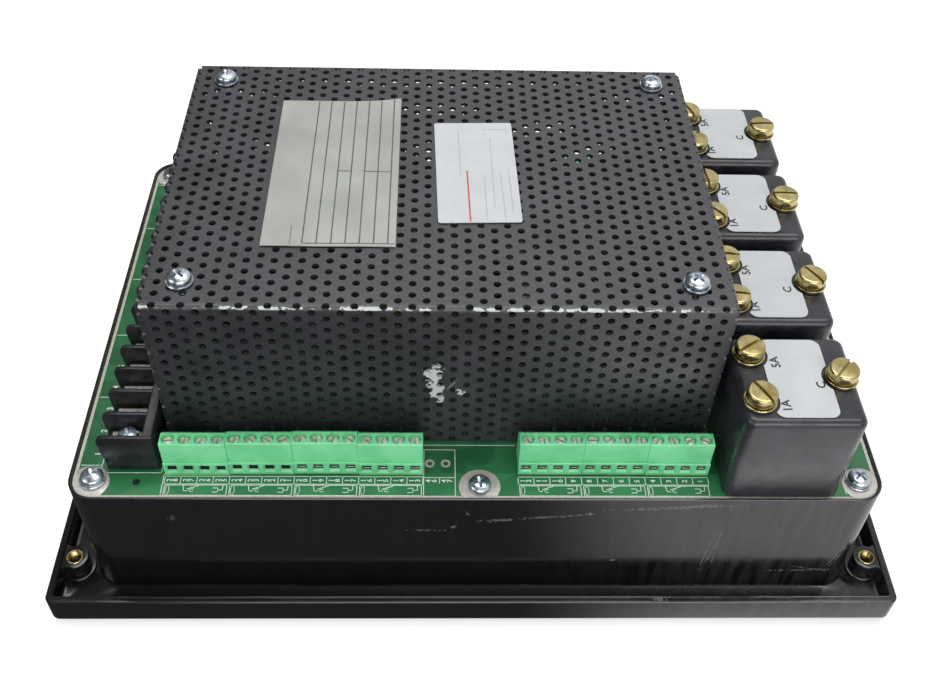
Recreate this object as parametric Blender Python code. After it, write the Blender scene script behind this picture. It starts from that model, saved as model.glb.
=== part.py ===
"""Panel-mounted protection relay, lying face down on its bezel.

X runs along the relay's long side, Y across it, Z up from the bezel's face to the rear.
The origin is under the middle of the bezel. All sizes are in metres.
"""
import math

import bmesh
import bpy
from mathutils import Matrix, Vector

for old in list(bpy.data.objects):
    bpy.data.objects.remove(old, do_unlink=True)

# Gap that touching pieces keep
CLEARANCE = 0.0003

# Housing: tub, bezel flange and the ledge that the rear board lies on
TUB_LENGTH = 0.2580
TUB_WIDTH = 0.1684
TUB_CORNER_RADIUS = 0.0085
TUB_TOP = 0.0561
TUB_WALL = 0.0025
LIP_WIDTH = 0.0013
LIP_HEIGHT = 0.0010
FLANGE_SIDE_MARGIN = 0.0141
FLANGE_END_MARGIN = 0.01105
FLANGE_CORNER_RADIUS = 0.0026
FLANGE_HEIGHT = 0.0125
FRONT_EDGE_RADIUS = 0.0029
RIM_WALL = 0.0024
TROUGH_FLOOR = 0.0030
EDGE_CHAMFER = 0.0004
RECESS_MARGIN = 0.0070
RECESS_CORNER_RADIUS = 0.0040
RECESS_DEPTH = 0.0035
FRONT_WALL = 0.0025

# Corner bosses of the flange and their threaded inserts
BOSS_INSET_X = 0.0063
BOSS_INSET_Y = 0.01805
BOSS_RADIUS = 0.0046
BOSS_FOOT_RADIUS = 0.0060
BOSS_FOOT_HEIGHT = 0.0045
BOSS_BELOW_RIM = 0.0001
INSERT_RADIUS = 0.0029
INSERT_HOLE_RADIUS = 0.0024
INSERT_LENGTH = 0.0082
INSERT_CHAMFER = 0.0003

# Rear board and its screws
BOARD_THICKNESS = 0.0016
BOARD_SCREW_INSET_X = 0.0060
BOARD_SCREW_INSET_Y = 0.0063
BOARD_MID_SCREW_INSET = 0.0042
CORNER_POST_RADIUS = 0.0065
MID_POST_RADIUS = 0.0045
SCREW_SHANK_RADIUS = 0.0017
SCREW_CLEARANCE = 0.0004
BOARD_SCREW_LENGTH = 0.0110
PAN_HEAD_RADIUS = 0.0040
PAN_HEAD_HEIGHT = 0.0026
# Domed head: share of its radius at each share of its height
PAN_HEAD_PROFILE = ((1.0, 0.0), (1.0, 0.45), (0.78, 0.85), (0.42, 1.0))
WASHER_RADIUS = 0.0044
WASHER_THICKNESS = 0.0008

# Front: faceplate, display, status lights and keys
FACEPLATE_THICKNESS = 0.0015
# Lengths and places along the front are shares of the faceplate's length
DISPLAY_LENGTH_SHARE = 0.41
DISPLAY_PLACE_SHARE = 0.123
DISPLAY_HEIGHT = 0.0240
DISPLAY_INSET_Y = 0.0292
WINDOW_BORDER = 0.0040
WINDOW_THICKNESS = 0.0015
MODULE_BEZEL_BORDER = 0.0070
MODULE_BOARD_BORDER = 0.0100
MODULE_BOARD_THICKNESS = 0.0016
LED_COUNT = 5
LED_PITCH_SHARE = 0.0574
LED_RADIUS = 0.0025
LED_FLANGE_RADIUS = 0.0029
LED_FLANGE_HEIGHT = 0.0010
LED_PROUD = 0.0004
LED_CROWN = 0.6
LED_PLACE_SHARE = -0.303
LED_SLOT_MARGIN = 0.0020
KEY_COLUMNS = 3
KEY_ROWS = 2
KEY_PITCH_X_SHARE = 0.131
KEY_PITCH_Y = 0.0280
KEY_LENGTH = 0.0220
KEY_WIDTH = 0.0160
KEY_CORNER = 0.0025
KEY_CHAMFER = 0.0005
KEY_PROUD = 0.0009
KEY_SIDE_GAP = 0.0003
KEY_COLLAR = 0.0012
KEY_COLLAR_THICKNESS = 0.0012
KEY_STEM_INSET = 0.0040
KEY_STEM_HEIGHT = 0.0008
KEY_TRAVEL = 0.0010
KEYPAD_PLACE_SHARE = -0.262
KEYPAD_OFFSET_Y = -0.0220
KEYPAD_OPENING_MARGIN = 0.0030
SWITCH_SIZE = 0.0060
SWITCH_BODY_HEIGHT = 0.0037
SWITCH_PLUNGER_RADIUS = 0.0017
SWITCH_PLUNGER_HEIGHT = 0.0012

# Boards behind the front
INNER_BOARD_MARGIN_X = 0.0185
INNER_BOARD_MARGIN_Y = 0.0157
INNER_BOARD_HOLE_INSET = 0.0060
FRONT_POST_RADIUS = 0.0035
SPACER_RADIUS = 0.0032
SPACER_LENGTH = 0.0158
SPACER_STUD_RADIUS = 0.0015
SPACER_STUD_LENGTH = 0.0050
JOINT_DEPTH = 0.0004
CHIP_HEIGHT = 0.0035
# Chips: centre, then half their size
CHIPS = (
    ((-0.050, 0.010), (0.014, 0.014)),
    ((-0.010, 0.012), (0.008, 0.018)),
    ((0.015, 0.012), (0.008, 0.018)),
    ((0.045, 0.000), (0.010, 0.010)),
)
CONNECTOR_LENGTH = 0.0600
CONNECTOR_WIDTH = 0.0080
CONNECTOR_OFFSET_Y = 0.0430

# Screw terminal blocks along both long edges
TERMINAL_PITCH = 0.00508
TERMINAL_SETBACK = 0.0094
TERMINAL_FOOT_STEP = 0.0008
TERMINAL_LEDGE_HEIGHT = 0.0060
TERMINAL_HEIGHT = 0.0146
TERMINAL_TOP_DEPTH = 0.0049
TERMINAL_DEPTH = 0.0082
TERMINAL_SHOULDER = 0.0040
TERMINAL_GAP_TO_STRIP = 0.0021
TERMINAL_GAP_TO_CT = 0.0035
# Most of the row's length that each of its two groups may take
TERMINAL_LEFT_SHARE = 0.4735
TERMINAL_RIGHT_SHARE = 0.3555
TERMINAL_SPLIT = 4
ENTRY_WIDTH = 0.0026
ENTRY_LOW = 0.0027
ENTRY_HIGH = 0.0053
ENTRY_DEPTH = 0.0040
WELL_RADIUS = 0.0018
WELL_DEPTH = 0.0007

# Barrier terminal strip along the left edge
BARRIER_PITCH = 0.009525
BARRIER_THICKNESS = 0.0015
BARRIER_END_MARGIN = 0.0110
STRIP_SETBACK = 0.0087
STRIP_WIDTH = 0.0174
STRIP_BASE_HEIGHT = 0.0077
STRIP_HEIGHT = 0.0155
STRIP_WALL = 0.0032
STRIP_BASE_STEP = 0.0012
BARRIER_CORNER = 0.0025
# How far along both sides of the corner its rounding passes
BARRIER_CORNER_MID = 0.3
PLATE_THICKNESS = 0.0008
PLATE_LENGTH = 0.0110
PLATE_SIDE_GAP = 0.0004
BARRIER_SCREW_RADIUS = 0.0037
BARRIER_SCREW_HEIGHT = 0.0028
BARRIER_SCREW_CROWN = 0.7

# Current transformers along the right edge
CT_COUNT = 4
CT_SETBACK = 0.0139
CT_LENGTH = 0.0368
CT_SPACING = 0.0054
CT_HEIGHT = 0.0365
CT_CORNER_RADIUS = 0.0036
CT_TOP_ROUND = 0.0022
CT_ROW_SHIFT = -0.0027
CT_SCREW_INSET = 0.0052
CT_SCREW_FAR_INSET = 0.0049
CT_SCREW_SPREAD_SHARE = 0.259
CT_HEAD_RADIUS = 0.0046
CT_HEAD_HEIGHT = 0.0039
CT_HEAD_CHAMFER = 0.0005
CT_SHANK_RADIUS = 0.0020
CT_SHANK_LENGTH = 0.0090
CT_WASHER_RADIUS = 0.0054
CT_WASHER_THICKNESS = 0.0010
LABEL_THICKNESS = 0.0003
LABEL_END_GAP_NEAR = 0.0092
LABEL_END_GAP_FAR = 0.0085
LABEL_SIDE_GAP = 0.0023
LABEL_CORNER_RADIUS = 0.0030
LABEL_NOTCH_GAP = 0.0006

# Perforated cover
COVER_FRONT_SETBACK = 0.0221
COVER_BACK_SETBACK = 0.0189
COVER_GAP_TO_STRIP = 0.0010
COVER_GAP_TO_CT = 0.0026
COVER_HEIGHT = 0.0608
COVER_SHEET = 0.0012
COVER_BEND_RADIUS = 0.0014
COVER_SEAM = 0.0004
COVER_SCREW_INSET_X = 0.01165
COVER_SCREW_INSET_Y = 0.0105
COVER_SCREW_LENGTH = 0.0080
COVER_WASHER_RADIUS = 0.0044
STANDOFF_RADIUS = 0.0040
PERFORATION_HOLE = 0.00238
PERFORATION_PITCH = 0.0047625
# One modelled hole stands for a patch of the fine pattern this many pitches wide
PERFORATION_GROUP = 5.2
PERFORATION_EDGE = 0.0022

# Plates stuck on the cover, from its left end and its front fold
NAMEPLATE_LEFT = 0.0330
NAMEPLATE_FRONT = 0.0260
NAMEPLATE_LENGTH = 0.0408
NAMEPLATE_WIDTH = 0.0755
NAMEPLATE_THICKNESS = 0.0005
SUPPORT_LABEL_LEFT = 0.0859
SUPPORT_LABEL_FRONT = 0.0376
SUPPORT_LABEL_LENGTH = 0.0263
SUPPORT_LABEL_WIDTH = 0.0520
SUPPORT_LABEL_THICKNESS = 0.0003
SUPPORT_LABEL_TURN = math.radians(-1.5)

# Parts under the cover: relays, transformer, capacitors and heat sink, in this order from the left,
# evenly apart between the margins
SUPPLY_MARGIN = 0.0138
CORE_LENGTH = 0.0440
CORE_WIDTH = 0.0260
CORE_HEIGHT = 0.0380
CORE_OFFSET_Y = -0.0080
WINDING_OVERHANG = 0.0080
WINDING_INSET = 0.0080
RELAY_COUNT = 4
RELAY_LENGTH = 0.0150
RELAY_HEIGHT = 0.0160
RELAY_GAP = 0.0030
CAPACITOR_COUNT = 3
CAPACITOR_RADIUS = 0.0080
CAPACITOR_HEIGHT = 0.0300
CAPACITOR_PITCH = 0.0200
# The heat sink stands behind the cover's front posts and takes this share of the room between posts
HEAT_SINK_GAP_TO_POST = 0.0126
HEAT_SINK_SHARE = 0.525
HEAT_SINK_HEIGHT = 0.0300
FIN_COUNT = 5
FIN_PITCH = 0.0050
FIN_THICKNESS = 0.0015
HEAT_SINK_BASE = 0.0030

# Faces round a full turn, and steps round a quarter corner
CORNER_STEPS = 5
BLOCK_CORNER_STEPS = 3
LABEL_CORNER_STEPS = 2
BOSS_SIDES = 12
ROUND_SIDES = 10
SCREW_SIDES = 8
SMALL_SIDES = 6

# Places that several pieces share
tub_half = Vector((TUB_LENGTH / 2, TUB_WIDTH / 2))
flange_half = tub_half + Vector((FLANGE_SIDE_MARGIN, FLANGE_END_MARGIN))
board_half = tub_half - Vector((1, 1)) * (LIP_WIDTH + CLEARANCE)
recess_half = tub_half - Vector((1, 1)) * RECESS_MARGIN
board_top = TUB_TOP - LIP_HEIGHT
board_bottom = board_top - BOARD_THICKNESS
ledge_z = board_bottom - CLEARANCE
on_board = board_top + CLEARANCE
front_wall_back = RECESS_DEPTH + FRONT_WALL
boss_top = FLANGE_HEIGHT - BOSS_BELOW_RIM

strip_left = -board_half.x + STRIP_SETBACK
strip_right = strip_left + STRIP_WIDTH
strip_poles = int((2 * board_half.y - 2 * BARRIER_END_MARGIN) / BARRIER_PITCH)
strip_front = -strip_poles * BARRIER_PITCH / 2 - BARRIER_THICKNESS / 2
strip_base_top = on_board + STRIP_BASE_HEIGHT
plate_top = strip_base_top + PLATE_THICKNESS

ct_right = board_half.x - CT_SETBACK
ct_left = ct_right - CT_LENGTH
ct_pitch = 2 * board_half.y / CT_COUNT
ct_width = ct_pitch - CT_SPACING
ct_top = on_board + CT_HEIGHT

cover_left = strip_right + COVER_GAP_TO_STRIP
cover_right = ct_left - COVER_GAP_TO_CT
cover_front = -board_half.y + COVER_FRONT_SETBACK
cover_back = board_half.y - COVER_BACK_SETBACK
cover_centre = Vector(((cover_left + cover_right) / 2, (cover_front + cover_back) / 2))
cover_half = Vector(((cover_right - cover_left) / 2, (cover_back - cover_front) / 2))
cover_top = on_board + COVER_HEIGHT
heat_sink_width = (FIN_COUNT - 1) * FIN_PITCH + FIN_THICKNESS

faceplate_back = RECESS_DEPTH - CLEARANCE
faceplate_front = faceplate_back - FACEPLATE_THICKNESS
key_collar_front = faceplate_back + CLEARANCE
key_back = key_collar_front + KEY_COLLAR_THICKNESS + KEY_STEM_HEIGHT
plunger_tip = key_back + KEY_TRAVEL + CLEARANCE
switch_front = plunger_tip + SWITCH_PLUNGER_HEIGHT
front_board_front = switch_front + SWITCH_BODY_HEIGHT + CLEARANCE
front_board_back = front_board_front + BOARD_THICKNESS
processor_board_front = front_board_back + SPACER_LENGTH + 2 * CLEARANCE
processor_board_back = processor_board_front + BOARD_THICKNESS

front_length = 2 * recess_half.x
display_half = Vector((DISPLAY_LENGTH_SHARE * front_length / 2, DISPLAY_HEIGHT / 2))
display_place = Vector((DISPLAY_PLACE_SHARE * front_length, recess_half.y - DISPLAY_INSET_Y))
led_pitch = LED_PITCH_SHARE * front_length
key_pitch_x = KEY_PITCH_X_SHARE * front_length
keypad_place = Vector((KEYPAD_PLACE_SHARE * front_length, KEYPAD_OFFSET_Y))
inner_board_half = tub_half - Vector((TUB_WALL + INNER_BOARD_MARGIN_X, TUB_WALL + INNER_BOARD_MARGIN_Y))


def corners(offset_x, offset_y, centre=Vector((0.0, 0.0))):
    """The four points at plus and minus the offsets from a centre."""
    return [centre + Vector((x * offset_x, y * offset_y)) for y in (-1, 1) for x in (-1, 1)]


corner_screw_places = corners(board_half.x - BOARD_SCREW_INSET_X, board_half.y - BOARD_SCREW_INSET_Y)
mid_screw_places = [Vector((0.0, y * (board_half.y - BOARD_MID_SCREW_INSET))) for y in (-1, 1)]
board_screw_places = corner_screw_places + mid_screw_places
boss_places = corners(flange_half.x - BOSS_INSET_X, flange_half.y - BOSS_INSET_Y)
spacer_half = inner_board_half - Vector((1, 1)) * INNER_BOARD_HOLE_INSET
spacer_places = corners(spacer_half.x, spacer_half.y)
cover_screw_half = cover_half - Vector((COVER_SCREW_INSET_X, COVER_SCREW_INSET_Y))
cover_screw_places = corners(cover_screw_half.x, cover_screw_half.y, cover_centre)
key_places = [
    Vector((
        keypad_place.x + (column - (KEY_COLUMNS - 1) / 2) * key_pitch_x,
        keypad_place.y + ((KEY_ROWS - 1) / 2 - row) * KEY_PITCH_Y,
    ))
    for row in range(KEY_ROWS)
    for column in range(KEY_COLUMNS)
]
led_places = [
    Vector((LED_PLACE_SHARE * front_length + (index - (LED_COUNT - 1) / 2) * led_pitch, display_place.y))
    for index in range(LED_COUNT)
]
ct_centres = [
    Vector(((ct_left + ct_right) / 2, CT_ROW_SHIFT + ((CT_COUNT - 1) / 2 - index) * ct_pitch))
    for index in range(CT_COUNT)
]


def ct_screw_places(centre):
    """Two screws on the side towards the cover and one on the far side."""
    near_x = ct_left + CT_SCREW_INSET
    far_x = ct_right - CT_SCREW_FAR_INSET
    spread = CT_SCREW_SPREAD_SHARE * ct_width
    return [
        Vector((near_x, centre.y - spread)),
        Vector((near_x, centre.y + spread)),
        Vector((far_x, centre.y)),
    ]


def material(name, colour, roughness, metallic=0.0):
    """One surface: a Principled BSDF with the piece's colour, roughness and metal share."""
    made = bpy.data.materials.new(name)
    made.use_nodes = True
    shader = made.node_tree.nodes["Principled BSDF"]
    shader.inputs["Base Color"].default_value = (*colour, 1.0)
    shader.inputs["Roughness"].default_value = roughness
    shader.inputs["Metallic"].default_value = metallic
    made.diffuse_color = (*colour, 1.0)
    return made


def rounded_rectangle(half, radius, z, centre=Vector((0.0, 0.0)), steps=CORNER_STEPS):
    """Points round a rectangle with arc corners, anticlockwise from above."""
    points = []
    for quarter, (side_x, side_y) in enumerate(((1, 1), (-1, 1), (-1, -1), (1, -1))):
        for step in range(steps + 1):
            angle = math.pi / 2 * (quarter + step / steps)
            x = centre.x + side_x * (half.x - radius) + radius * math.cos(angle)
            y = centre.y + side_y * (half.y - radius) + radius * math.sin(angle)
            points.append(Vector((x, y, z)))
    return points


def rectangle(half, z, centre=Vector((0.0, 0.0))):
    """The four corners of a rectangle, anticlockwise from above."""
    return [
        Vector((centre.x + x * half.x, centre.y + y * half.y, z))
        for x, y in ((1, 1), (-1, 1), (-1, -1), (1, -1))
    ]


def circle(radius, z, centre, sides=ROUND_SIDES):
    """Points round a circle, turned so that a flat faces each axis."""
    turn = math.pi / sides
    return [
        Vector((
            centre.x + radius * math.cos(turn + 2 * math.pi * side / sides),
            centre.y + radius * math.sin(turn + 2 * math.pi * side / sides),
            z,
        ))
        for side in range(sides)
    ]


def skin(mesh, loops, closed_ring=False):
    """Join equal loops with faces; the ends are capped, or meet when the section is a ring."""
    rings = [[mesh.verts.new(point) for point in loop] for loop in loops]
    pairs = list(zip(rings, rings[1:]))
    if closed_ring:
        pairs.append((rings[-1], rings[0]))
    faces = []
    for first, second in pairs:
        for index in range(len(first)):
            following = (index + 1) % len(first)
            faces.append(mesh.faces.new((first[index], first[following], second[following], second[index])))
    if not closed_ring:
        faces.append(mesh.faces.new(list(reversed(rings[0]))))
        faces.append(mesh.faces.new(rings[-1]))
    return faces


def box(mesh, low, high):
    """A plain block between two corners."""
    centre = Vector(((low[0] + high[0]) / 2, (low[1] + high[1]) / 2))
    half = Vector(((high[0] - low[0]) / 2, (high[1] - low[1]) / 2))
    skin(mesh, [rectangle(half, low[2], centre), rectangle(half, high[2], centre)])


def turned(mesh, profile, centre, sides=ROUND_SIDES):
    """A solid of revolution from (radius, height) pairs, both ends capped."""
    skin(mesh, [circle(radius, z, centre, sides) for radius, z in profile])


def turned_ring(mesh, profile, centre, sides=ROUND_SIDES):
    """A ring of revolution whose closed section is the profile."""
    skin(mesh, [circle(radius, z, centre, sides) for radius, z in profile], closed_ring=True)


def extruded(mesh, outline, start, end, axis):
    """An outline pushed along an axis; its points give the other two coordinates in order."""
    def place(along, first, second):
        return Vector((along, first, second)) if axis == "x" else Vector((first, along, second))
    skin(mesh, [[place(along, *point) for point in outline] for along in (start, end)])


def finish(name, mesh, surface, smooth=False):
    """Turn a working mesh into the named piece with its surface."""
    bmesh.ops.recalc_face_normals(mesh, faces=mesh.faces)
    data = bpy.data.meshes.new(name)
    mesh.to_mesh(data)
    mesh.free()
    piece = bpy.data.objects.new(name, data)
    bpy.context.scene.collection.objects.link(piece)
    data.materials.append(surface)
    if smooth:
        data.shade_smooth()
        data.set_sharp_from_angle(angle=math.radians(40))
    return piece


def combine(piece, tool_mesh, operation):
    """Join or cut a piece with a tool body by an exact Boolean, then drop the tool."""
    tool = finish(piece.name + "_tool", tool_mesh, piece.data.materials[0])
    step = piece.modifiers.new("combine", "BOOLEAN")
    step.object = tool
    step.operation = operation
    step.solver = "EXACT"
    evaluated = piece.evaluated_get(bpy.context.evaluated_depsgraph_get())
    result = bpy.data.meshes.new_from_object(evaluated)
    piece.modifiers.remove(step)
    piece.data = result
    bpy.data.objects.remove(tool, do_unlink=True)


black_moulding = material("black_moulding", (0.012, 0.012, 0.013), 0.28)
brass = material("brass", (0.55, 0.38, 0.14), 0.30, 1.0)
board_green = material("board_green", (0.045, 0.20, 0.085), 0.40)
zinc = material("zinc_plate", (0.62, 0.65, 0.68), 0.28, 1.0)
terminal_green = material("terminal_green", (0.17, 0.50, 0.23), 0.45)
strip_black = material("strip_black", (0.016, 0.016, 0.018), 0.40)
potting = material("potting", (0.050, 0.049, 0.056), 0.42)
label_white = material("label_white", (0.68, 0.72, 0.73), 0.50)
powder_coat = material("powder_coat", (0.030, 0.030, 0.033), 0.50)
plate_silver = material("plate_silver", (0.50, 0.51, 0.49), 0.45)
face_grey = material("face_grey", (0.13, 0.14, 0.15), 0.50)
window_clear = material("window_clear", (0.40, 0.45, 0.40), 0.08)
module_green = material("module_green", (0.20, 0.30, 0.10), 0.30)
key_grey = material("key_grey", (0.45, 0.46, 0.47), 0.50)
steel_core = material("steel_core", (0.25, 0.24, 0.23), 0.45, 0.8)
winding_amber = material("winding_amber", (0.42, 0.25, 0.05), 0.50)


def make_housing():
    """Bezel, trough, tub and board ledge as one lofted shell, then bosses, posts and openings."""
    def loop(outer_half, radius, inset, z):
        return rounded_rectangle(outer_half - Vector((inset, inset)), max(radius - inset, LIP_WIDTH), z)

    arc_steps = 3
    loops = [
        rounded_rectangle(recess_half, RECESS_CORNER_RADIUS, RECESS_DEPTH),
        rounded_rectangle(recess_half, RECESS_CORNER_RADIUS, 0.0),
    ]
    for step in range(arc_steps + 1):
        angle = math.pi / 2 * step / arc_steps
        inset = FRONT_EDGE_RADIUS * (1 - math.sin(angle))
        z = FRONT_EDGE_RADIUS * (1 - math.cos(angle))
        loops.append(loop(flange_half, FLANGE_CORNER_RADIUS, inset, z))
    loops += [
        loop(flange_half, FLANGE_CORNER_RADIUS, 0.0, FLANGE_HEIGHT - EDGE_CHAMFER),
        loop(flange_half, FLANGE_CORNER_RADIUS, EDGE_CHAMFER, FLANGE_HEIGHT),
        loop(flange_half, FLANGE_CORNER_RADIUS, RIM_WALL, FLANGE_HEIGHT),
        loop(flange_half, FLANGE_CORNER_RADIUS, RIM_WALL, TROUGH_FLOOR),
        loop(tub_half, TUB_CORNER_RADIUS, 0.0, TROUGH_FLOOR),
        loop(tub_half, TUB_CORNER_RADIUS, 0.0, TUB_TOP - EDGE_CHAMFER),
        loop(tub_half, TUB_CORNER_RADIUS, EDGE_CHAMFER, TUB_TOP),
        loop(tub_half, TUB_CORNER_RADIUS, LIP_WIDTH, TUB_TOP),
        loop(tub_half, TUB_CORNER_RADIUS, LIP_WIDTH, ledge_z),
        loop(tub_half, TUB_CORNER_RADIUS, TUB_WALL, ledge_z),
        loop(tub_half, TUB_CORNER_RADIUS, TUB_WALL, front_wall_back),
    ]
    shell = bmesh.new()
    skin(shell, loops)
    housing = finish("housing", shell, black_moulding)

    added = bmesh.new()
    sunk = TROUGH_FLOOR / 2
    for place in boss_places:
        turned(added, [
            (BOSS_FOOT_RADIUS, sunk),
            (BOSS_FOOT_RADIUS, TROUGH_FLOOR + BOSS_FOOT_HEIGHT),
            (BOSS_RADIUS, TROUGH_FLOOR + BOSS_FOOT_HEIGHT),
            (BOSS_RADIUS, boss_top),
        ], place, BOSS_SIDES)
    post_base = front_wall_back - FRONT_WALL / 2
    for places, radius, post_top in (
        (corner_screw_places, CORNER_POST_RADIUS, ledge_z),
        (mid_screw_places, MID_POST_RADIUS, ledge_z),
        (spacer_places, FRONT_POST_RADIUS, front_board_front - CLEARANCE),
    ):
        for place in places:
            turned(added, [(radius, post_base), (radius, post_top)], place, SCREW_SIDES)
    combine(housing, added, "UNION")

    holes = bmesh.new()
    for place in boss_places:
        bore = INSERT_RADIUS + CLEARANCE
        turned(holes, [(bore, boss_top - INSERT_LENGTH - CLEARANCE), (bore, boss_top + CLEARANCE)], place)
    pilot = SCREW_SHANK_RADIUS + CLEARANCE
    screw_end = board_top - BOARD_SCREW_LENGTH - CLEARANCE
    for place in board_screw_places:
        turned(holes, [(pilot, screw_end), (pilot, board_top)], place, SMALL_SIDES)
    pilot = SPACER_STUD_RADIUS + CLEARANCE
    stud_end = front_board_back - SPACER_STUD_LENGTH - CLEARANCE
    for place in spacer_places:
        turned(holes, [(pilot, stud_end), (pilot, front_board_back)], place, SMALL_SIDES)
    through = (RECESS_DEPTH - FRONT_WALL, front_wall_back + FRONT_WALL)
    window_half = display_half + Vector((1, 1)) * (WINDOW_BORDER + CLEARANCE)
    for centre, half in (
        (display_place, window_half),
        (led_places[LED_COUNT // 2], led_slot_half()),
        (keypad_place, keypad_half()),
    ):
        skin(holes, [rectangle(half, z, centre) for z in through])
    combine(housing, holes, "DIFFERENCE")
    return housing


def led_slot_half():
    """Half size of the opening behind the row of status lights."""
    return Vector((
        (LED_COUNT - 1) / 2 * led_pitch + LED_FLANGE_RADIUS + LED_SLOT_MARGIN,
        LED_FLANGE_RADIUS + LED_SLOT_MARGIN,
    ))


def keypad_half():
    """Half size of the opening behind all keys."""
    border = KEY_COLLAR + KEYPAD_OPENING_MARGIN
    return Vector((
        ((KEY_COLUMNS - 1) * key_pitch_x + KEY_LENGTH) / 2 + border,
        ((KEY_ROWS - 1) * KEY_PITCH_Y + KEY_WIDTH) / 2 + border,
    ))


def make_inserts():
    """Brass threaded inserts pressed into the corner bosses."""
    bottom = boss_top - INSERT_LENGTH
    for number, place in enumerate(boss_places, 1):
        mesh = bmesh.new()
        turned_ring(mesh, [
            (INSERT_HOLE_RADIUS, bottom),
            (INSERT_RADIUS, bottom),
            (INSERT_RADIUS, boss_top),
            (INSERT_HOLE_RADIUS + INSERT_CHAMFER, boss_top),
            (INSERT_HOLE_RADIUS, boss_top - INSERT_CHAMFER),
        ], place)
        finish(f"threaded_insert_{number}", mesh, brass, smooth=True)


def make_faceplate():
    """Flat plate in the bezel's recess, cut out for the display, the lights and the keys."""
    half = recess_half - Vector((CLEARANCE, CLEARANCE))
    mesh = bmesh.new()
    skin(mesh, [
        rounded_rectangle(half, RECESS_CORNER_RADIUS, z, steps=BLOCK_CORNER_STEPS)
        for z in (faceplate_front, faceplate_back)
    ])
    plate = finish("faceplate", mesh, face_grey)
    holes = bmesh.new()
    through = (faceplate_front - FACEPLATE_THICKNESS, faceplate_back + FACEPLATE_THICKNESS)
    skin(holes, [rectangle(display_half, z, display_place) for z in through])
    for place in led_places:
        turned(holes, [(LED_RADIUS + CLEARANCE, z) for z in through], place, SCREW_SIDES)
    hole_half = Vector((KEY_LENGTH / 2 + KEY_SIDE_GAP, KEY_WIDTH / 2 + KEY_SIDE_GAP))
    for place in key_places:
        skin(holes, [rounded_rectangle(hole_half, KEY_CORNER, z, place, 1) for z in through])
    combine(plate, holes, "DIFFERENCE")


def make_display():
    """Clear window behind the faceplate and the display module behind the front wall."""
    window_half = display_half + Vector((WINDOW_BORDER, WINDOW_BORDER))
    mesh = bmesh.new()
    window_front = faceplate_back + CLEARANCE
    window_back = window_front + WINDOW_THICKNESS
    skin(mesh, [rectangle(window_half, z, display_place) for z in (window_front, window_back)])
    finish("display_window", mesh, window_clear)

    bezel_half = display_half + Vector((1, 1)) * MODULE_BEZEL_BORDER
    module_half = display_half + Vector((1, 1)) * MODULE_BOARD_BORDER
    bezel_front = front_wall_back + CLEARANCE
    module_back = front_board_front - CLEARANCE
    mesh = bmesh.new()
    skin(mesh, [
        rectangle(half, z, display_place) for half, z in (
            (display_half, window_back + CLEARANCE),
            (display_half, bezel_front),
            (bezel_half, bezel_front),
            (bezel_half, module_back - MODULE_BOARD_THICKNESS),
            (module_half, module_back - MODULE_BOARD_THICKNESS),
            (module_half, module_back),
        )
    ])
    finish("display_module", mesh, module_green)


def add_leds(mesh, root):
    """Domed status lights that stand on the front board and reach through the faceplate."""
    back = front_board_front - CLEARANCE
    tip = faceplate_front - LED_PROUD
    for place in led_places:
        turned(mesh, [
            (LED_CROWN * LED_RADIUS, tip),
            (LED_RADIUS, tip + LED_RADIUS),
            (LED_RADIUS, back - LED_FLANGE_HEIGHT),
            (LED_FLANGE_RADIUS, back - LED_FLANGE_HEIGHT),
            (LED_FLANGE_RADIUS, root),
        ], place, SCREW_SIDES)


def make_keys():
    """Key caps, each with a collar that stops it behind the faceplate and a stem for its switch."""
    half = Vector((KEY_LENGTH / 2, KEY_WIDTH / 2))
    front = faceplate_front - KEY_PROUD
    chamfer = Vector((KEY_CHAMFER, KEY_CHAMFER))
    collar = Vector((KEY_COLLAR, KEY_COLLAR))
    stem = Vector((KEY_STEM_INSET, KEY_STEM_INSET))
    collar_back = key_collar_front + KEY_COLLAR_THICKNESS
    for number, place in enumerate(key_places, 1):
        mesh = bmesh.new()
        skin(mesh, [
            rounded_rectangle(half - chamfer, KEY_CORNER - KEY_CHAMFER, front, steps=1),
            rounded_rectangle(half, KEY_CORNER, front + KEY_CHAMFER, steps=1),
            rounded_rectangle(half, KEY_CORNER, key_collar_front, steps=1),
            rounded_rectangle(half + collar, KEY_CORNER, key_collar_front, steps=1),
            rounded_rectangle(half + collar, KEY_CORNER, collar_back, steps=1),
            rounded_rectangle(half - stem, KEY_CORNER, collar_back, steps=1),
            rounded_rectangle(half - stem, KEY_CORNER, key_back, steps=1),
        ])
        key = finish(f"key_{number:02d}", mesh, key_grey)
        key.location = (place.x, place.y, 0.0)


def add_switches(mesh, root):
    """One tactile switch behind each key, its plunger just clear of the pressed key."""
    half = Vector((SWITCH_SIZE / 2, SWITCH_SIZE / 2))
    plunger = Vector((SWITCH_PLUNGER_RADIUS, SWITCH_PLUNGER_RADIUS))
    for place in key_places:
        skin(mesh, [
            rectangle(plunger, plunger_tip, place),
            rectangle(plunger, switch_front, place),
            rectangle(half, switch_front, place),
            rectangle(half, root, place),
        ])


def make_plate_with_holes(name, half, radius, low, high, places, hole_radius, surface):
    """A board with rounded corners and round holes through it."""
    mesh = bmesh.new()
    skin(mesh, [rounded_rectangle(half, radius, z) for z in (low, high)])
    plate = finish(name, mesh, surface)
    holes = bmesh.new()
    for place in places:
        turned(holes, [
            (hole_radius, low - BOARD_THICKNESS),
            (hole_radius, high + BOARD_THICKNESS),
        ], place, SCREW_SIDES)
    combine(plate, holes, "DIFFERENCE")
    return plate


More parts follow.
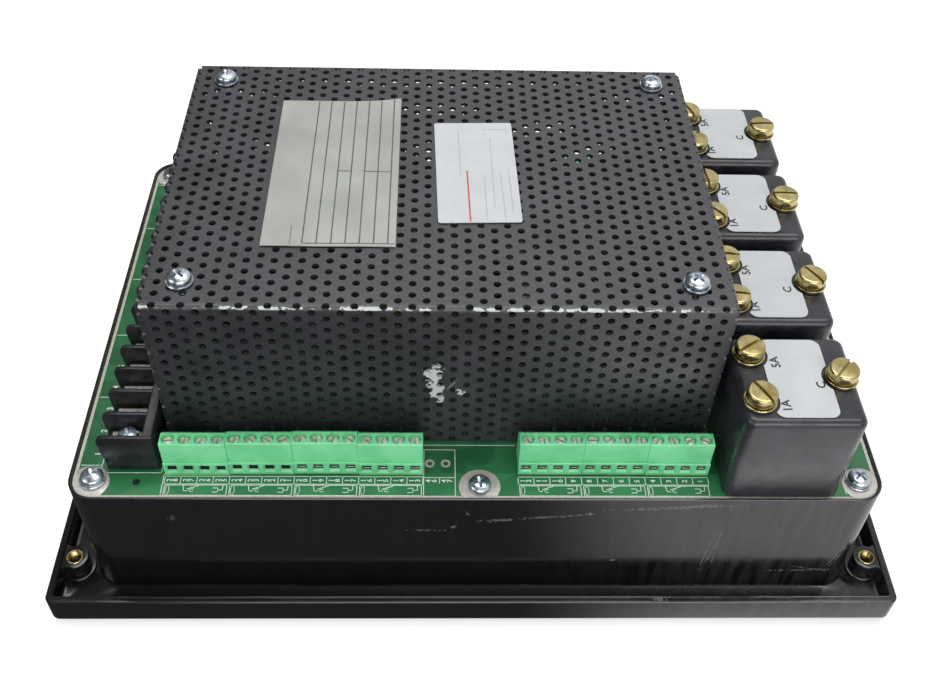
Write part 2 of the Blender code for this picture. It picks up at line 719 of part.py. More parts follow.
def make_inner_boards():
    """Front board with its lights and switches, and the processor board on four spacers behind it."""
    hole = SPACER_STUD_RADIUS + CLEARANCE
    front = make_plate_with_holes(
        "front_board", inner_board_half, LIP_WIDTH, front_board_front, front_board_back, spacer_places, hole,
        board_green)
    soldered = bmesh.new()
    root = front_board_front + JOINT_DEPTH
    add_leds(soldered, root)
    add_switches(soldered, root)
    combine(front, soldered, "UNION")

    mesh = bmesh.new()
    skin(mesh, [
        rounded_rectangle(inner_board_half, LIP_WIDTH, z)
        for z in (processor_board_front, processor_board_back)
    ])
    processor = finish("processor_board", mesh, board_green)
    fitted = bmesh.new()
    base = front_board_back + CLEARANCE
    for place in spacer_places:
        skin(fitted, [
            circle(SPACER_STUD_RADIUS, front_board_back - SPACER_STUD_LENGTH, place, SMALL_SIDES),
            circle(SPACER_STUD_RADIUS, base, place, SMALL_SIDES),
            circle(SPACER_RADIUS, base, place, SMALL_SIDES),
            circle(SPACER_RADIUS, processor_board_front + JOINT_DEPTH, place, SMALL_SIDES),
        ])
    chip_root = processor_board_back - JOINT_DEPTH
    chip_top = processor_board_back + CHIP_HEIGHT
    for centre, half in CHIPS:
        skin(fitted, [rectangle(Vector(half), z, Vector(centre)) for z in (chip_root, chip_top)])
    half = Vector((CONNECTOR_LENGTH / 2, CONNECTOR_WIDTH / 2))
    for side in (-1, 1):
        centre = Vector((0.0, side * CONNECTOR_OFFSET_Y))
        skin(fitted, [rectangle(half, z, centre) for z in (base, board_bottom - CLEARANCE)])
    combine(processor, fitted, "UNION")


def pan_screw(name, place, seat, length, washer_radius=0.0):
    """A pan head screw: shank, a flat washer where it has one, and a domed head."""
    profile = [(SCREW_SHANK_RADIUS, seat - length), (SCREW_SHANK_RADIUS, seat)]
    head_low = seat
    if washer_radius:
        head_low = seat + WASHER_THICKNESS
        profile += [(washer_radius, seat), (washer_radius, head_low)]
    profile += [
        (across * PAN_HEAD_RADIUS, head_low + up * PAN_HEAD_HEIGHT) for across, up in PAN_HEAD_PROFILE
    ]
    mesh = bmesh.new()
    turned(mesh, profile, place, SCREW_SIDES)
    finish(name, mesh, zinc, smooth=True)


def make_rear_board():
    """Green board on the housing's ledge, the parts soldered to it, and its six screws."""
    radius = TUB_CORNER_RADIUS - LIP_WIDTH - CLEARANCE
    hole = SCREW_SHANK_RADIUS + SCREW_CLEARANCE
    board = make_plate_with_holes(
        "rear_board", board_half, radius, board_bottom, board_top, board_screw_places, hole, board_green)
    soldered = bmesh.new()
    root = board_top - JOINT_DEPTH
    add_cover_posts(soldered, root)
    add_supply_parts(soldered, root)
    combine(board, soldered, "UNION")
    for number, place in enumerate(board_screw_places, 1):
        washer_radius = WASHER_RADIUS if place in corner_screw_places else 0.0
        pan_screw(f"rear_board_screw_{number}", place, on_board, BOARD_SCREW_LENGTH, washer_radius)


def terminal_outline(side):
    """Section of a terminal block across its row, wire face towards the board's edge."""
    face = board_half.y - TERMINAL_SETBACK
    return [(side * (face - depth), on_board + height) for depth, height in (
        (-TERMINAL_FOOT_STEP, 0.0),
        (-TERMINAL_FOOT_STEP, TERMINAL_LEDGE_HEIGHT),
        (0.0, TERMINAL_LEDGE_HEIGHT),
        (0.0, TERMINAL_HEIGHT),
        (TERMINAL_TOP_DEPTH, TERMINAL_HEIGHT),
        (TERMINAL_DEPTH, TERMINAL_HEIGHT - TERMINAL_SHOULDER),
        (TERMINAL_DEPTH, 0.0),
    )]


def terminal_blocks(split):
    """Start and pole count of each block of one row: two groups, each one block or split in two."""
    left_start = strip_right + TERMINAL_GAP_TO_STRIP
    right_end = ct_left - TERMINAL_GAP_TO_CT
    row_length = right_end - left_start
    left_poles = int(TERMINAL_LEFT_SHARE * row_length / TERMINAL_PITCH)
    right_poles = int(TERMINAL_RIGHT_SHARE * row_length / TERMINAL_PITCH)
    right_start = right_end - right_poles * TERMINAL_PITCH
    if not split:
        return [(left_start, left_poles), (right_start, right_poles)]
    return [
        (left_start, left_poles - TERMINAL_SPLIT),
        (left_start + (left_poles - TERMINAL_SPLIT) * TERMINAL_PITCH, TERMINAL_SPLIT),
        (right_start, right_poles - TERMINAL_SPLIT),
        (right_start + (right_poles - TERMINAL_SPLIT) * TERMINAL_PITCH, TERMINAL_SPLIT),
    ]


def make_terminals():
    """Screw terminal blocks; every pole has a wire entry and a recess whose floor is its screw's head."""
    top = on_board + TERMINAL_HEIGHT
    rows = (("front", -1, terminal_blocks(True)), ("back", 1, terminal_blocks(False)))
    for row_name, side, blocks in rows:
        outline = terminal_outline(side)
        face = side * (board_half.y - TERMINAL_SETBACK + TERMINAL_FOOT_STEP)
        screw_y = side * (board_half.y - TERMINAL_SETBACK - TERMINAL_TOP_DEPTH / 2)
        for number, (start, poles) in enumerate(blocks, 1):
            mesh = bmesh.new()
            end = start + poles * TERMINAL_PITCH
            extruded(mesh, outline, start + CLEARANCE / 2, end - CLEARANCE / 2, "x")
            block = finish(f"terminal_block_{row_name}_{number}", mesh, terminal_green)
            pockets = bmesh.new()
            for pole in range(poles):
                x = start + (pole + 0.5) * TERMINAL_PITCH
                mouth = face + side * ENTRY_DEPTH / 4
                inner = face - side * ENTRY_DEPTH
                box(pockets,
                    (x - ENTRY_WIDTH / 2, min(mouth, inner), on_board + ENTRY_LOW),
                    (x + ENTRY_WIDTH / 2, max(mouth, inner), on_board + ENTRY_HIGH))
                well = [(WELL_RADIUS, top - WELL_DEPTH), (WELL_RADIUS, top + WELL_DEPTH)]
                turned(pockets, well, Vector((x, screw_y)), SMALL_SIDES)
            combine(block, pockets, "DIFFERENCE")


def make_barrier_strip():
    """Comb of barriers on a long base with a wall towards the cover, and a plate in every pole."""
    low = on_board
    top = on_board + STRIP_HEIGHT
    wall_x = strip_right - STRIP_WALL
    outline = [(strip_front + BARRIER_THICKNESS + strip_poles * BARRIER_PITCH, low), (strip_front, low)]
    for pole in range(strip_poles):
        y = strip_front + pole * BARRIER_PITCH
        outline += [
            (y, top),
            (y + BARRIER_THICKNESS, top),
            (y + BARRIER_THICKNESS, strip_base_top),
            (y + BARRIER_PITCH, strip_base_top),
        ]
    y = strip_front + strip_poles * BARRIER_PITCH
    outline += [(y, top), (y + BARRIER_THICKNESS, top)]
    mesh = bmesh.new()
    extruded(mesh, outline, strip_left, wall_x + STRIP_WALL / 2, "x")
    strip = finish("barrier_strip", mesh, strip_black)
    wall = bmesh.new()
    box(wall, (wall_x, strip_front, low), (strip_right, y + BARRIER_THICKNESS, top))
    combine(strip, wall, "UNION")

    beyond = BARRIER_THICKNESS
    ends = (strip_front - beyond, y + BARRIER_THICKNESS + beyond)
    trims = bmesh.new()
    extruded(trims, [
        (strip_left - beyond, top - BARRIER_CORNER),
        (strip_left, top - BARRIER_CORNER),
        (strip_left + BARRIER_CORNER_MID * BARRIER_CORNER, top - BARRIER_CORNER_MID * BARRIER_CORNER),
        (strip_left + BARRIER_CORNER, top),
        (strip_left + BARRIER_CORNER, top + beyond),
        (strip_left - beyond, top + beyond),
    ], *ends, "y")
    extruded(trims, [
        (strip_left - beyond, low - beyond),
        (strip_left + STRIP_BASE_STEP, low - beyond),
        (strip_left + STRIP_BASE_STEP, strip_base_top - STRIP_BASE_STEP),
        (strip_left - beyond, strip_base_top - STRIP_BASE_STEP),
    ], *ends, "y")
    combine(strip, trims, "DIFFERENCE")

    plates = bmesh.new()
    right = wall_x - PLATE_SIDE_GAP
    for pole in range(strip_poles):
        pole_low = strip_front + pole * BARRIER_PITCH + BARRIER_THICKNESS + PLATE_SIDE_GAP
        pole_high = strip_front + (pole + 1) * BARRIER_PITCH - PLATE_SIDE_GAP
        box(plates,
            (right - PLATE_LENGTH, pole_low, strip_base_top - JOINT_DEPTH),
            (right, pole_high, plate_top))
    combine(strip, plates, "UNION")

    mesh = bmesh.new()
    seat = plate_top + CLEARANCE
    place = Vector((right - PLATE_LENGTH / 2, strip_front + BARRIER_THICKNESS / 2 + BARRIER_PITCH / 2))
    turned(mesh, [
        (BARRIER_SCREW_RADIUS, seat),
        (BARRIER_SCREW_RADIUS, seat + BARRIER_SCREW_HEIGHT / 2),
        (BARRIER_SCREW_CROWN * BARRIER_SCREW_RADIUS, seat + BARRIER_SCREW_HEIGHT),
    ], place)
    finish("barrier_screw", mesh, zinc, smooth=True)


def make_current_transformers():
    """Potted blocks with rounded edges, each with three terminal screws and a label."""
    seat = ct_top + CLEARANCE
    head_low = seat + CT_WASHER_THICKNESS
    head_top = head_low + CT_HEAD_HEIGHT
    bore = CT_SHANK_RADIUS + CLEARANCE
    half = Vector((CT_LENGTH / 2, ct_width / 2))
    for number, centre in enumerate(ct_centres, 1):
        mesh = bmesh.new()
        loops = [rounded_rectangle(half, CT_CORNER_RADIUS, on_board, centre, BLOCK_CORNER_STEPS)]
        for angle in (0, math.pi / 4, math.pi / 2):
            inset = CT_TOP_ROUND * (1 - math.cos(angle))
            z = ct_top - CT_TOP_ROUND * (1 - math.sin(angle))
            loops.append(rounded_rectangle(
                half - Vector((inset, inset)), CT_CORNER_RADIUS - inset, z, centre, BLOCK_CORNER_STEPS))
        skin(mesh, loops)
        block = finish(f"current_transformer_{number}", mesh, potting, smooth=True)
        bores = bmesh.new()
        for screw, place in enumerate(ct_screw_places(centre), 1):
            shank_end = seat - CT_SHANK_LENGTH
            turned(bores, [(bore, shank_end - CLEARANCE), (bore, ct_top + CLEARANCE)], place, SMALL_SIDES)
            mesh = bmesh.new()
            turned(mesh, [
                (CT_SHANK_RADIUS, shank_end),
                (CT_SHANK_RADIUS, seat),
                (CT_WASHER_RADIUS, seat),
                (CT_WASHER_RADIUS, head_low),
                (CT_HEAD_RADIUS, head_low),
                (CT_HEAD_RADIUS, head_top - CT_HEAD_CHAMFER),
                (CT_HEAD_RADIUS - CT_HEAD_CHAMFER, head_top),
            ], place, SCREW_SIDES)
            finish(f"ct_screw_{number}_{screw}", mesh, brass, smooth=True)
        combine(block, bores, "DIFFERENCE")
        make_ct_label(f"ct_label_{number}", centre, seat)


def make_ct_label(name, centre, low):
    """A thin label with round notches that clear the washers."""
    label_low_x = ct_left + LABEL_END_GAP_NEAR
    label_high_x = ct_right - LABEL_END_GAP_FAR
    half = Vector(((label_high_x - label_low_x) / 2, ct_width / 2 - LABEL_SIDE_GAP))
    middle = Vector(((label_low_x + label_high_x) / 2, centre.y))
    mesh = bmesh.new()
    skin(mesh, [
        rounded_rectangle(half, LABEL_CORNER_RADIUS, z, middle, LABEL_CORNER_STEPS)
        for z in (low, low + LABEL_THICKNESS)
    ])
    label = finish(name, mesh, label_white)
    notches = bmesh.new()
    for place in ct_screw_places(centre):
        radius = CT_WASHER_RADIUS + LABEL_NOTCH_GAP
        turned(notches, [
            (radius, low - LABEL_THICKNESS),
            (radius, low + 2 * LABEL_THICKNESS),
        ], place, BOSS_SIDES)
    combine(label, notches, "DIFFERENCE")


def perforation_places(half_u, half_v, margin):
    """Centres of a 60 degree staggered pattern inside a panel, from its middle."""
    pitch = PERFORATION_PITCH * PERFORATION_GROUP
    column_step = pitch * math.cos(math.radians(30))
    columns = int((half_u - margin) / column_step)
    rows = int((half_v - margin) / (pitch / 2))
    places = []
    for column in range(-columns, columns + 1):
        for row in range(-rows, rows + 1):
            if (column + row) % 2 == 0:
                places.append((column * column_step, row * pitch / 2))
    return places


def make_cover():
    """Folded sheet box, open at the bottom and along its corner seams, perforated on all five sides."""
    low = on_board
    bend_steps = 2
    inner_half = cover_half - Vector((COVER_SHEET, COVER_SHEET))
    inner_top = cover_top - COVER_SHEET
    loops = [rectangle(inner_half, inner_top, cover_centre), rectangle(inner_half, low, cover_centre)]
    loops.append(rectangle(cover_half, low, cover_centre))
    for step in range(bend_steps + 1):
        angle = math.pi / 2 * step / bend_steps
        inset = COVER_BEND_RADIUS * (1 - math.cos(angle))
        z = cover_top - COVER_BEND_RADIUS * (1 - math.sin(angle))
        loops.append(rectangle(cover_half - Vector((inset, inset)), z, cover_centre))
    mesh = bmesh.new()
    skin(mesh, loops)
    cover = finish("perforated_cover", mesh, powder_coat)

    seams = bmesh.new()
    reach = COVER_SHEET + COVER_SEAM
    seam_ends = (low - reach, cover_top - 2 * COVER_BEND_RADIUS)
    for corner in corners(cover_half.x, cover_half.y, cover_centre):
        skin(seams, [rectangle(Vector((reach, reach)), z, corner) for z in seam_ends])
    combine(cover, seams, "DIFFERENCE")

    radius = PERFORATION_HOLE * PERFORATION_GROUP / 2
    margin = radius + PERFORATION_EDGE
    beyond = 2 * COVER_SHEET
    middle_z = (low + cover_top) / 2
    half_height = COVER_HEIGHT / 2
    turn = math.pi / SMALL_SIDES

    def ring(first, second):
        return [
            (first + radius * math.cos(turn + 2 * math.pi * side / SMALL_SIDES),
             second + radius * math.sin(turn + 2 * math.pi * side / SMALL_SIDES))
            for side in range(SMALL_SIDES)
        ]

    top_holes = bmesh.new()
    for place in cover_screw_places:
        turned(top_holes, [
            (SCREW_SHANK_RADIUS + SCREW_CLEARANCE, inner_top - beyond),
            (SCREW_SHANK_RADIUS + SCREW_CLEARANCE, cover_top + beyond),
        ], place, SMALL_SIDES)
    for u, v in perforation_places(cover_half.x, cover_half.y, margin):
        place = cover_centre + Vector((u, v))
        screw_gap = min((place - screw).length for screw in cover_screw_places)
        if screw_gap > radius + COVER_WASHER_RADIUS:
            through = [(radius, inner_top - beyond), (radius, cover_top + beyond)]
            turned(top_holes, through, place, SMALL_SIDES)
    combine(cover, top_holes, "DIFFERENCE")

    front_holes = bmesh.new()
    for u, v in perforation_places(cover_half.x, half_height, margin + COVER_BEND_RADIUS):
        outline = ring(cover_centre.x + u, middle_z + v)
        extruded(front_holes, outline, cover_front - beyond, cover_back + beyond, "y")
    combine(cover, front_holes, "DIFFERENCE")

    end_holes = bmesh.new()
    for u, v in perforation_places(cover_half.y, half_height, margin + COVER_BEND_RADIUS):
        outline = ring(cover_centre.y + u, middle_z + v)
        extruded(end_holes, outline, cover_left - beyond, cover_right + beyond, "x")
    combine(cover, end_holes, "DIFFERENCE")


def add_cover_posts(mesh, root):
    """Posts on the board that carry the cover's corners, each with a bore for its screw."""
    post_top = cover_top - COVER_SHEET - CLEARANCE
    bore = SCREW_SHANK_RADIUS + CLEARANCE
    bore_floor = cover_top + CLEARANCE - COVER_SCREW_LENGTH - CLEARANCE
    for place in cover_screw_places:
        skin(mesh, [
            circle(STANDOFF_RADIUS, root, place, SMALL_SIDES),
            circle(STANDOFF_RADIUS, post_top, place, SMALL_SIDES),
            circle(bore, post_top, place, SMALL_SIDES),
            circle(bore, bore_floor, place, SMALL_SIDES),
        ])


def make_cover_screws():
    """The screws that hold the cover down on its posts."""
    seat = cover_top + CLEARANCE
    for number, place in enumerate(cover_screw_places, 1):
        pan_screw(f"cover_screw_{number}", place, seat, COVER_SCREW_LENGTH, COVER_WASHER_RADIUS)


def make_cover_plates():
    """Thin nameplate and paper label on top of the cover."""
    low = cover_top + CLEARANCE
    corner = Vector((cover_left + NAMEPLATE_LEFT, cover_front + NAMEPLATE_FRONT))
    mesh = bmesh.new()
    box(mesh, (corner.x, corner.y, low),
        (corner.x + NAMEPLATE_LENGTH, corner.y + NAMEPLATE_WIDTH, low + NAMEPLATE_THICKNESS))
    finish("nameplate", mesh, plate_silver)

    mesh = bmesh.new()
    half = Vector((SUPPORT_LABEL_LENGTH / 2, SUPPORT_LABEL_WIDTH / 2))
    skin(mesh, [rectangle(half, z) for z in (0.0, SUPPORT_LABEL_THICKNESS)])
    centre = Vector((cover_left + SUPPORT_LABEL_LEFT, cover_front + SUPPORT_LABEL_FRONT)) + half
    place = Matrix.Translation((centre.x, centre.y, low)) @ Matrix.Rotation(SUPPORT_LABEL_TURN, 4, "Z")
    bmesh.ops.transform(mesh, matrix=place, verts=mesh.verts)
    finish("support_label", mesh, label_white)


def supply_columns():
    """Middles along X of the relays, the transformer, the capacitors and the heat sink."""
    lengths = (RELAY_LENGTH, CORE_LENGTH, 2 * CAPACITOR_RADIUS, heat_sink_width)
    gap = (2 * (cover_half.x - SUPPLY_MARGIN) - sum(lengths)) / (len(lengths) - 1)
    left = cover_left + SUPPLY_MARGIN
    middles = []
    for length in lengths:
        middles.append(left + length / 2)
        left += length + gap
    return middles


def add_supply_parts(mesh, root):
    """Output relays, capacitors and a heat sink, soldered to the board under the cover."""
    relay_x, _, capacitor_x, sink_x = supply_columns()
    row = 2 * (cover_screw_half.y - STANDOFF_RADIUS) - RELAY_GAP
    half = Vector((RELAY_LENGTH / 2, (row / RELAY_COUNT - RELAY_GAP) / 2))
    for index in range(RELAY_COUNT):
        place = Vector((relay_x, cover_centre.y + (index - (RELAY_COUNT - 1) / 2) * row / RELAY_COUNT))
        skin(mesh, [rectangle(half, z, place) for z in (root, board_top + RELAY_HEIGHT)])
    for index in range(CAPACITOR_COUNT):
        place = Vector((capacitor_x, cover_centre.y + ((CAPACITOR_COUNT - 1) / 2 - index) * CAPACITOR_PITCH))
        turned(mesh, [(CAPACITOR_RADIUS, root), (CAPACITOR_RADIUS, board_top + CAPACITOR_HEIGHT)], place)
    left = sink_x - heat_sink_width / 2
    foot = board_top + HEAT_SINK_BASE
    top = board_top + HEAT_SINK_HEIGHT
    outline = [(left + heat_sink_width, root), (left, root)]
    for fin in range(FIN_COUNT):
        x = left + fin * FIN_PITCH
        outline += [(x, top), (x + FIN_THICKNESS, top)]
        if fin < FIN_COUNT - 1:
            outline += [(x + FIN_THICKNESS, foot), (x + FIN_PITCH, foot)]
    between_posts = 2 * (cover_screw_half.y - STANDOFF_RADIUS)
    start = cover_centre.y - between_posts / 2 + HEAT_SINK_GAP_TO_POST
    extruded(mesh, outline, start, start + HEAT_SINK_SHARE * between_posts, "y")


def make_transformer():
    """Mains transformer: a laminated core with two windows and the coil round its middle limb."""
    centre = Vector((supply_columns()[1], cover_centre.y + CORE_OFFSET_Y))
    core_half = Vector((CORE_LENGTH / 2, CORE_WIDTH / 2))
    winding_low = on_board + WINDING_INSET
    winding_high = on_board + CORE_HEIGHT - WINDING_INSET
    winding_half_x = core_half.x - WINDING_INSET
    mesh = bmesh.new()
    skin(mesh, [rectangle(core_half, z, centre) for z in (on_board, on_board + CORE_HEIGHT)])
    core = finish("transformer_core", mesh, steel_core)
    windows = bmesh.new()
    limb = winding_half_x / 2
    for side in (-1, 1):
        inner = centre.x + side * limb
        outer = centre.x + side * winding_half_x
        box(windows,
            (min(inner, outer), centre.y - CORE_WIDTH, winding_low),
            (max(inner, outer), centre.y + CORE_WIDTH, winding_high))
    combine(core, windows, "DIFFERENCE")

    mesh = bmesh.new()
    coil_half = Vector((winding_half_x - CLEARANCE, core_half.y + WINDING_OVERHANG))
    coil_hole = Vector((limb + CLEARANCE, core_half.y + CLEARANCE))
    heights = (winding_low + CLEARANCE, winding_high - CLEARANCE)
    skin(mesh, [
        rectangle(coil_hole, heights[0], centre),
        rectangle(coil_half, heights[0], centre),
        rectangle(coil_half, heights[1], centre),
        rectangle(coil_hole, heights[1], centre),
    ], closed_ring=True)
    finish("transformer_winding", mesh, winding_amber)


make_housing()
make_inserts()
make_faceplate()
make_display()
make_keys()
make_inner_boards()
make_rear_board()
make_terminals()
make_barrier_strip()
make_current_transformers()
make_cover()
make_cover_screws()
make_cover_plates()
make_transformer()
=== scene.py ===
import math

import bmesh
import bpy
import numpy as np
from mathutils import Matrix, Vector


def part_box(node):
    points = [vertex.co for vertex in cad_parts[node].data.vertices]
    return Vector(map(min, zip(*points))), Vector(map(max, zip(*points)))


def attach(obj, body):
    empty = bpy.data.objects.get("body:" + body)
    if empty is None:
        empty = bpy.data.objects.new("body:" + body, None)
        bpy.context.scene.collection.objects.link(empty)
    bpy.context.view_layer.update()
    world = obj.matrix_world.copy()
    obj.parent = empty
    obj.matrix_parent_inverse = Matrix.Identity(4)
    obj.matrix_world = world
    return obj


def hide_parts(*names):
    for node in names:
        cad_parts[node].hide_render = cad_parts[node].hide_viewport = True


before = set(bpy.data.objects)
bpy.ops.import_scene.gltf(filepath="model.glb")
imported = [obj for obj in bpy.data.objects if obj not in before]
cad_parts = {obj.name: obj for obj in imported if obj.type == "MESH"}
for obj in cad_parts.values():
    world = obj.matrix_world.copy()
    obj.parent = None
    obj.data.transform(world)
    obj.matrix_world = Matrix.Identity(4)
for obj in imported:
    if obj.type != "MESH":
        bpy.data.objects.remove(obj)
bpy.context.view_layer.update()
MM = 0.001
ROOT = "relay"
QUARTER = math.pi / 2
scene = bpy.context.scene

# %% [markdown]
# Colours are written as the sRGB hex values that a picture editor shows, and shaders count in linear light,
# so one function turns them. One more function adds a node with its settings and links: it serves shader
# trees and geometry trees alike. Most surfaces here are two tones in clouds, with roughness and fine bumps
# that vary too, so a single function makes them, and only the special ones are wired by hand.
# %% Colour and node helpers
def linear(code):
    """Linear colour of an sRGB hex code."""
    parts = [int(code[index:index + 2], 16) / 255 for index in (1, 3, 5)]
    return (*[part / 12.92 if part <= 0.04045 else ((part + 0.055) / 1.055) ** 2.4 for part in parts], 1.0)


def feed(tree, socket, value):
    """Set a socket, or link it when the value is itself a socket."""
    if isinstance(value, bpy.types.NodeSocket):
        tree.links.new(value, socket)
    else:
        socket.default_value = value


def add(tree, kind, inputs=None, **settings):
    """Add a node with its settings; an input is a value or the socket that feeds it."""
    made = tree.nodes.new(kind)
    for key, value in settings.items():
        setattr(made, key, value)
    for key, value in (inputs or {}).items():
        feed(tree, made.inputs[key], value)
    return made


def maths(tree, operation, *values):
    """The result of one arithmetic step on sockets or numbers."""
    return add(tree, "ShaderNodeMath", dict(enumerate(values)), operation=operation).outputs[0]


def ramp(tree, value, start, end, low, high, **settings):
    """Map a value between start and end to the range low to high."""
    return add(tree, "ShaderNodeMapRange", {0: value, 1: start, 2: end, 3: low, 4: high}, **settings).outputs[0]


def split(tree, vector):
    """The three components of a vector socket."""
    return add(tree, "ShaderNodeSeparateXYZ", {0: vector}).outputs


def mottle(tree, place, size_mm, spread=0.12, detail=3.0, to=(0, 1), stretch=(1, 1, 1)):
    """Cloudy variation with features of about size_mm, mapped to a range."""
    moved = add(tree, "ShaderNodeMapping", {0: place, "Scale": stretch}).outputs[0]
    noise = add(tree, "ShaderNodeTexNoise", {"Vector": moved, "Scale": 1 / (size_mm * MM), "Detail": detail})
    return ramp(tree, noise.outputs[0], 0.5 - spread, 0.5 + spread, *to)


def blended(tree, factor, first, second):
    """Colour that goes from first to second, each a hex code or a socket, as factor goes from 0 to 1."""
    first, second = [linear(one) if isinstance(one, str) else one for one in (first, second)]
    return add(tree, "ShaderNodeMix", {0: factor, 6: first, 7: second}, data_type="RGBA").outputs[2]


def bare(name, **sockets):
    """A Principled material with constant sockets; gives it, its tree, its shader and object coordinates."""
    made = bpy.data.materials.new(name)
    made.use_nodes = True
    tree = made.node_tree
    shader = tree.nodes["Principled BSDF"]
    for key, value in sockets.items():
        shader.inputs[key.replace("_", " ")].default_value = value
    return made, tree, shader, add(tree, "ShaderNodeTexCoord").outputs["Object"]


def finish(tree, shader, colour=None, roughness=None, height=None, depth_mm=0.0, strength=1.0):
    """Feed the shader its colour, its roughness and, as bumps of depth_mm, a height pattern from 0 to 1."""
    for key, value in (("Base Color", colour), ("Roughness", roughness)):
        if value is not None:
            feed(tree, shader.inputs[key], value)
    if height is not None:
        bump = add(tree, "ShaderNodeBump", {"Height": height, "Distance": depth_mm * MM, "Strength": strength})
        feed(tree, shader.inputs["Normal"], bump.outputs[0])


def surface(name, colours, grain=None, rough=0.5, bumps=None, **sockets):
    """A material of two colours mixed by a mottle, or of one.

    grain is the mottle's size in mm, spread and detail; rough is a value or a whole mottle; bumps are a
    mottle's size, spread and detail, then their depth and strength.
    """
    made, tree, shader, place = bare(name, **sockets)
    colour = blended(tree, mottle(tree, place, *grain), *colours) if grain else linear(colours)
    roughness = mottle(tree, place, *rough) if isinstance(rough, tuple) else rough
    height = mottle(tree, place, *bumps[:3]) if bumps else None
    finish(tree, shader, colour, roughness, height, *(bumps[3:] if bumps else ()))
    return made


def patch(tree, place, centre, half_sizes, tilt=0.0, ragged=0.6, grain=2.2):
    """Near 1 inside a ragged oval round a point in mm, tilted by degrees in the upright plane along X."""
    local = add(tree, "ShaderNodeMapping", {
        0: place, "Location": [value * MM for value in centre], "Rotation": (0, math.radians(-tilt), 0),
        "Scale": [value * MM for value in half_sizes]}, vector_type="TEXTURE")
    length = add(tree, "ShaderNodeVectorMath", {0: local.outputs[0]}, operation="LENGTH").outputs["Value"]
    edge = maths(tree, "ADD", length, mottle(tree, place, grain, 0.12, 5, (-ragged, ragged)))
    return ramp(tree, edge, 0.85, 1.05, 1.0, 0.0)


print("helpers ready")

# %% [markdown]
# The photograph was taken from in front and well above, with the relay turned a little. The camera's place,
# turn and focal length were fitted to known corners of the relay, so the render can be laid over the
# photograph. The lens is given for a sensor 36 mm wide.
# %% Camera
CAMERA_PLACE = Vector((-15.15, -281.50, 336.97)) * MM
PITCH_DOWN, YAW, ROLL = (math.radians(angle) for angle in (47.063, 2.617, 2.278))
FOCAL_PIXELS = 1091.6
PICTURE_WIDTH = 933


def link(name, data):
    """A new scene object that holds some data."""
    made = bpy.data.objects.new(name, data)
    scene.collection.objects.link(made)
    return made


forward = Vector((math.sin(YAW) * math.cos(PITCH_DOWN), math.cos(YAW) * math.cos(PITCH_DOWN), -math.sin(PITCH_DOWN)))
level = Vector((math.cos(YAW), -math.sin(YAW), 0))
upright = level.cross(forward)
across = math.cos(ROLL) * level + math.sin(ROLL) * upright
above = -math.sin(ROLL) * level + math.cos(ROLL) * upright
camera = link("camera", bpy.data.cameras.new("camera"))
camera.data.sensor_width = 36.0
camera.data.lens = FOCAL_PIXELS / PICTURE_WIDTH * camera.data.sensor_width
camera.matrix_world = Matrix.Translation(CAMERA_PLACE) @ Matrix((across, above, -forward)).transposed().to_4x4()
scene.camera = camera
scene.view_settings.view_transform = "Standard"
print("lens in mm:", round(camera.data.lens, 2))

# %% [markdown]
# A product photograph on white needs broad soft light. The world gives even light, three large lamps give the
# long highlights that moulded plastic and brass show, and the floor is a pale sheet. The floor and the world
# are white only to the camera and in reflections, so the white costs no extra light on the relay, and the
# floor still takes its shadow. Studios darken one side of a glossy black object with a black card; here the
# floor plays the card, because in reflections its left part is dark and grows white towards the right. The
# sky, too, is darker in reflections on the left.
# %% Floor, world and lamps
FLOOR_SIZE = 6.0
FLOOR_DROP = 0.0002
FLOOR_GLOW = 0.42
WORLD_LEVEL = 0.42
SKY_LEFT, SKY_RIGHT = (-0.30, 0.14), (0.02, 0.80)
CARD_LEVEL = 0.07
CARD_END, OPEN_START = 0.012, 0.088


def ray(tree, *kinds):
    """1 for rays of any of these kinds, and 0 for all others."""
    path = add(tree, "ShaderNodeLightPath")
    seen = path.outputs[f"Is {kinds[0]} Ray"]
    for kind in kinds[1:]:
        seen = maths(tree, "MAXIMUM", seen, path.outputs[f"Is {kind} Ray"])
    return seen


floor_mesh = bpy.data.meshes.new("floor")
floor_mesh.from_pydata([(x * FLOOR_SIZE / 2, y * FLOOR_SIZE / 2, 0) for x, y in ((-1, -1), (1, -1), (1, 1), (-1, 1))],
                       [], [(0, 1, 2, 3)])
floor = link("floor", floor_mesh)
floor.location.z = -FLOOR_DROP
paper = bpy.data.materials.new("white_studio_paper")
paper.use_nodes = True
tree = paper.node_tree
tree.nodes.clear()
from_left = split(tree, add(tree, "ShaderNodeTexCoord").outputs["Object"])[0]
card = ramp(tree, from_left, CARD_END, OPEN_START, CARD_LEVEL - 1, 0.0, interpolation_type="SMOOTHSTEP")
shade = maths(tree, "MULTIPLY_ADD", ray(tree, "Glossy"), card, 1.0)
matt = add(tree, "ShaderNodeBsdfDiffuse", {"Color": blended(tree, shade, "#000000", "#e8e8e8")})
glow_level = maths(tree, "MULTIPLY", ray(tree, "Camera", "Glossy", "Transmission"), FLOOR_GLOW)
glow = add(tree, "ShaderNodeEmission", {"Color": (1, 1, 1, 1), "Strength": maths(tree, "MULTIPLY", glow_level, shade)})
both = add(tree, "ShaderNodeAddShader", {0: matt.outputs[0], 1: glow.outputs[0]})
add(tree, "ShaderNodeOutputMaterial", {0: both.outputs[0]})
floor_mesh.materials.append(paper)

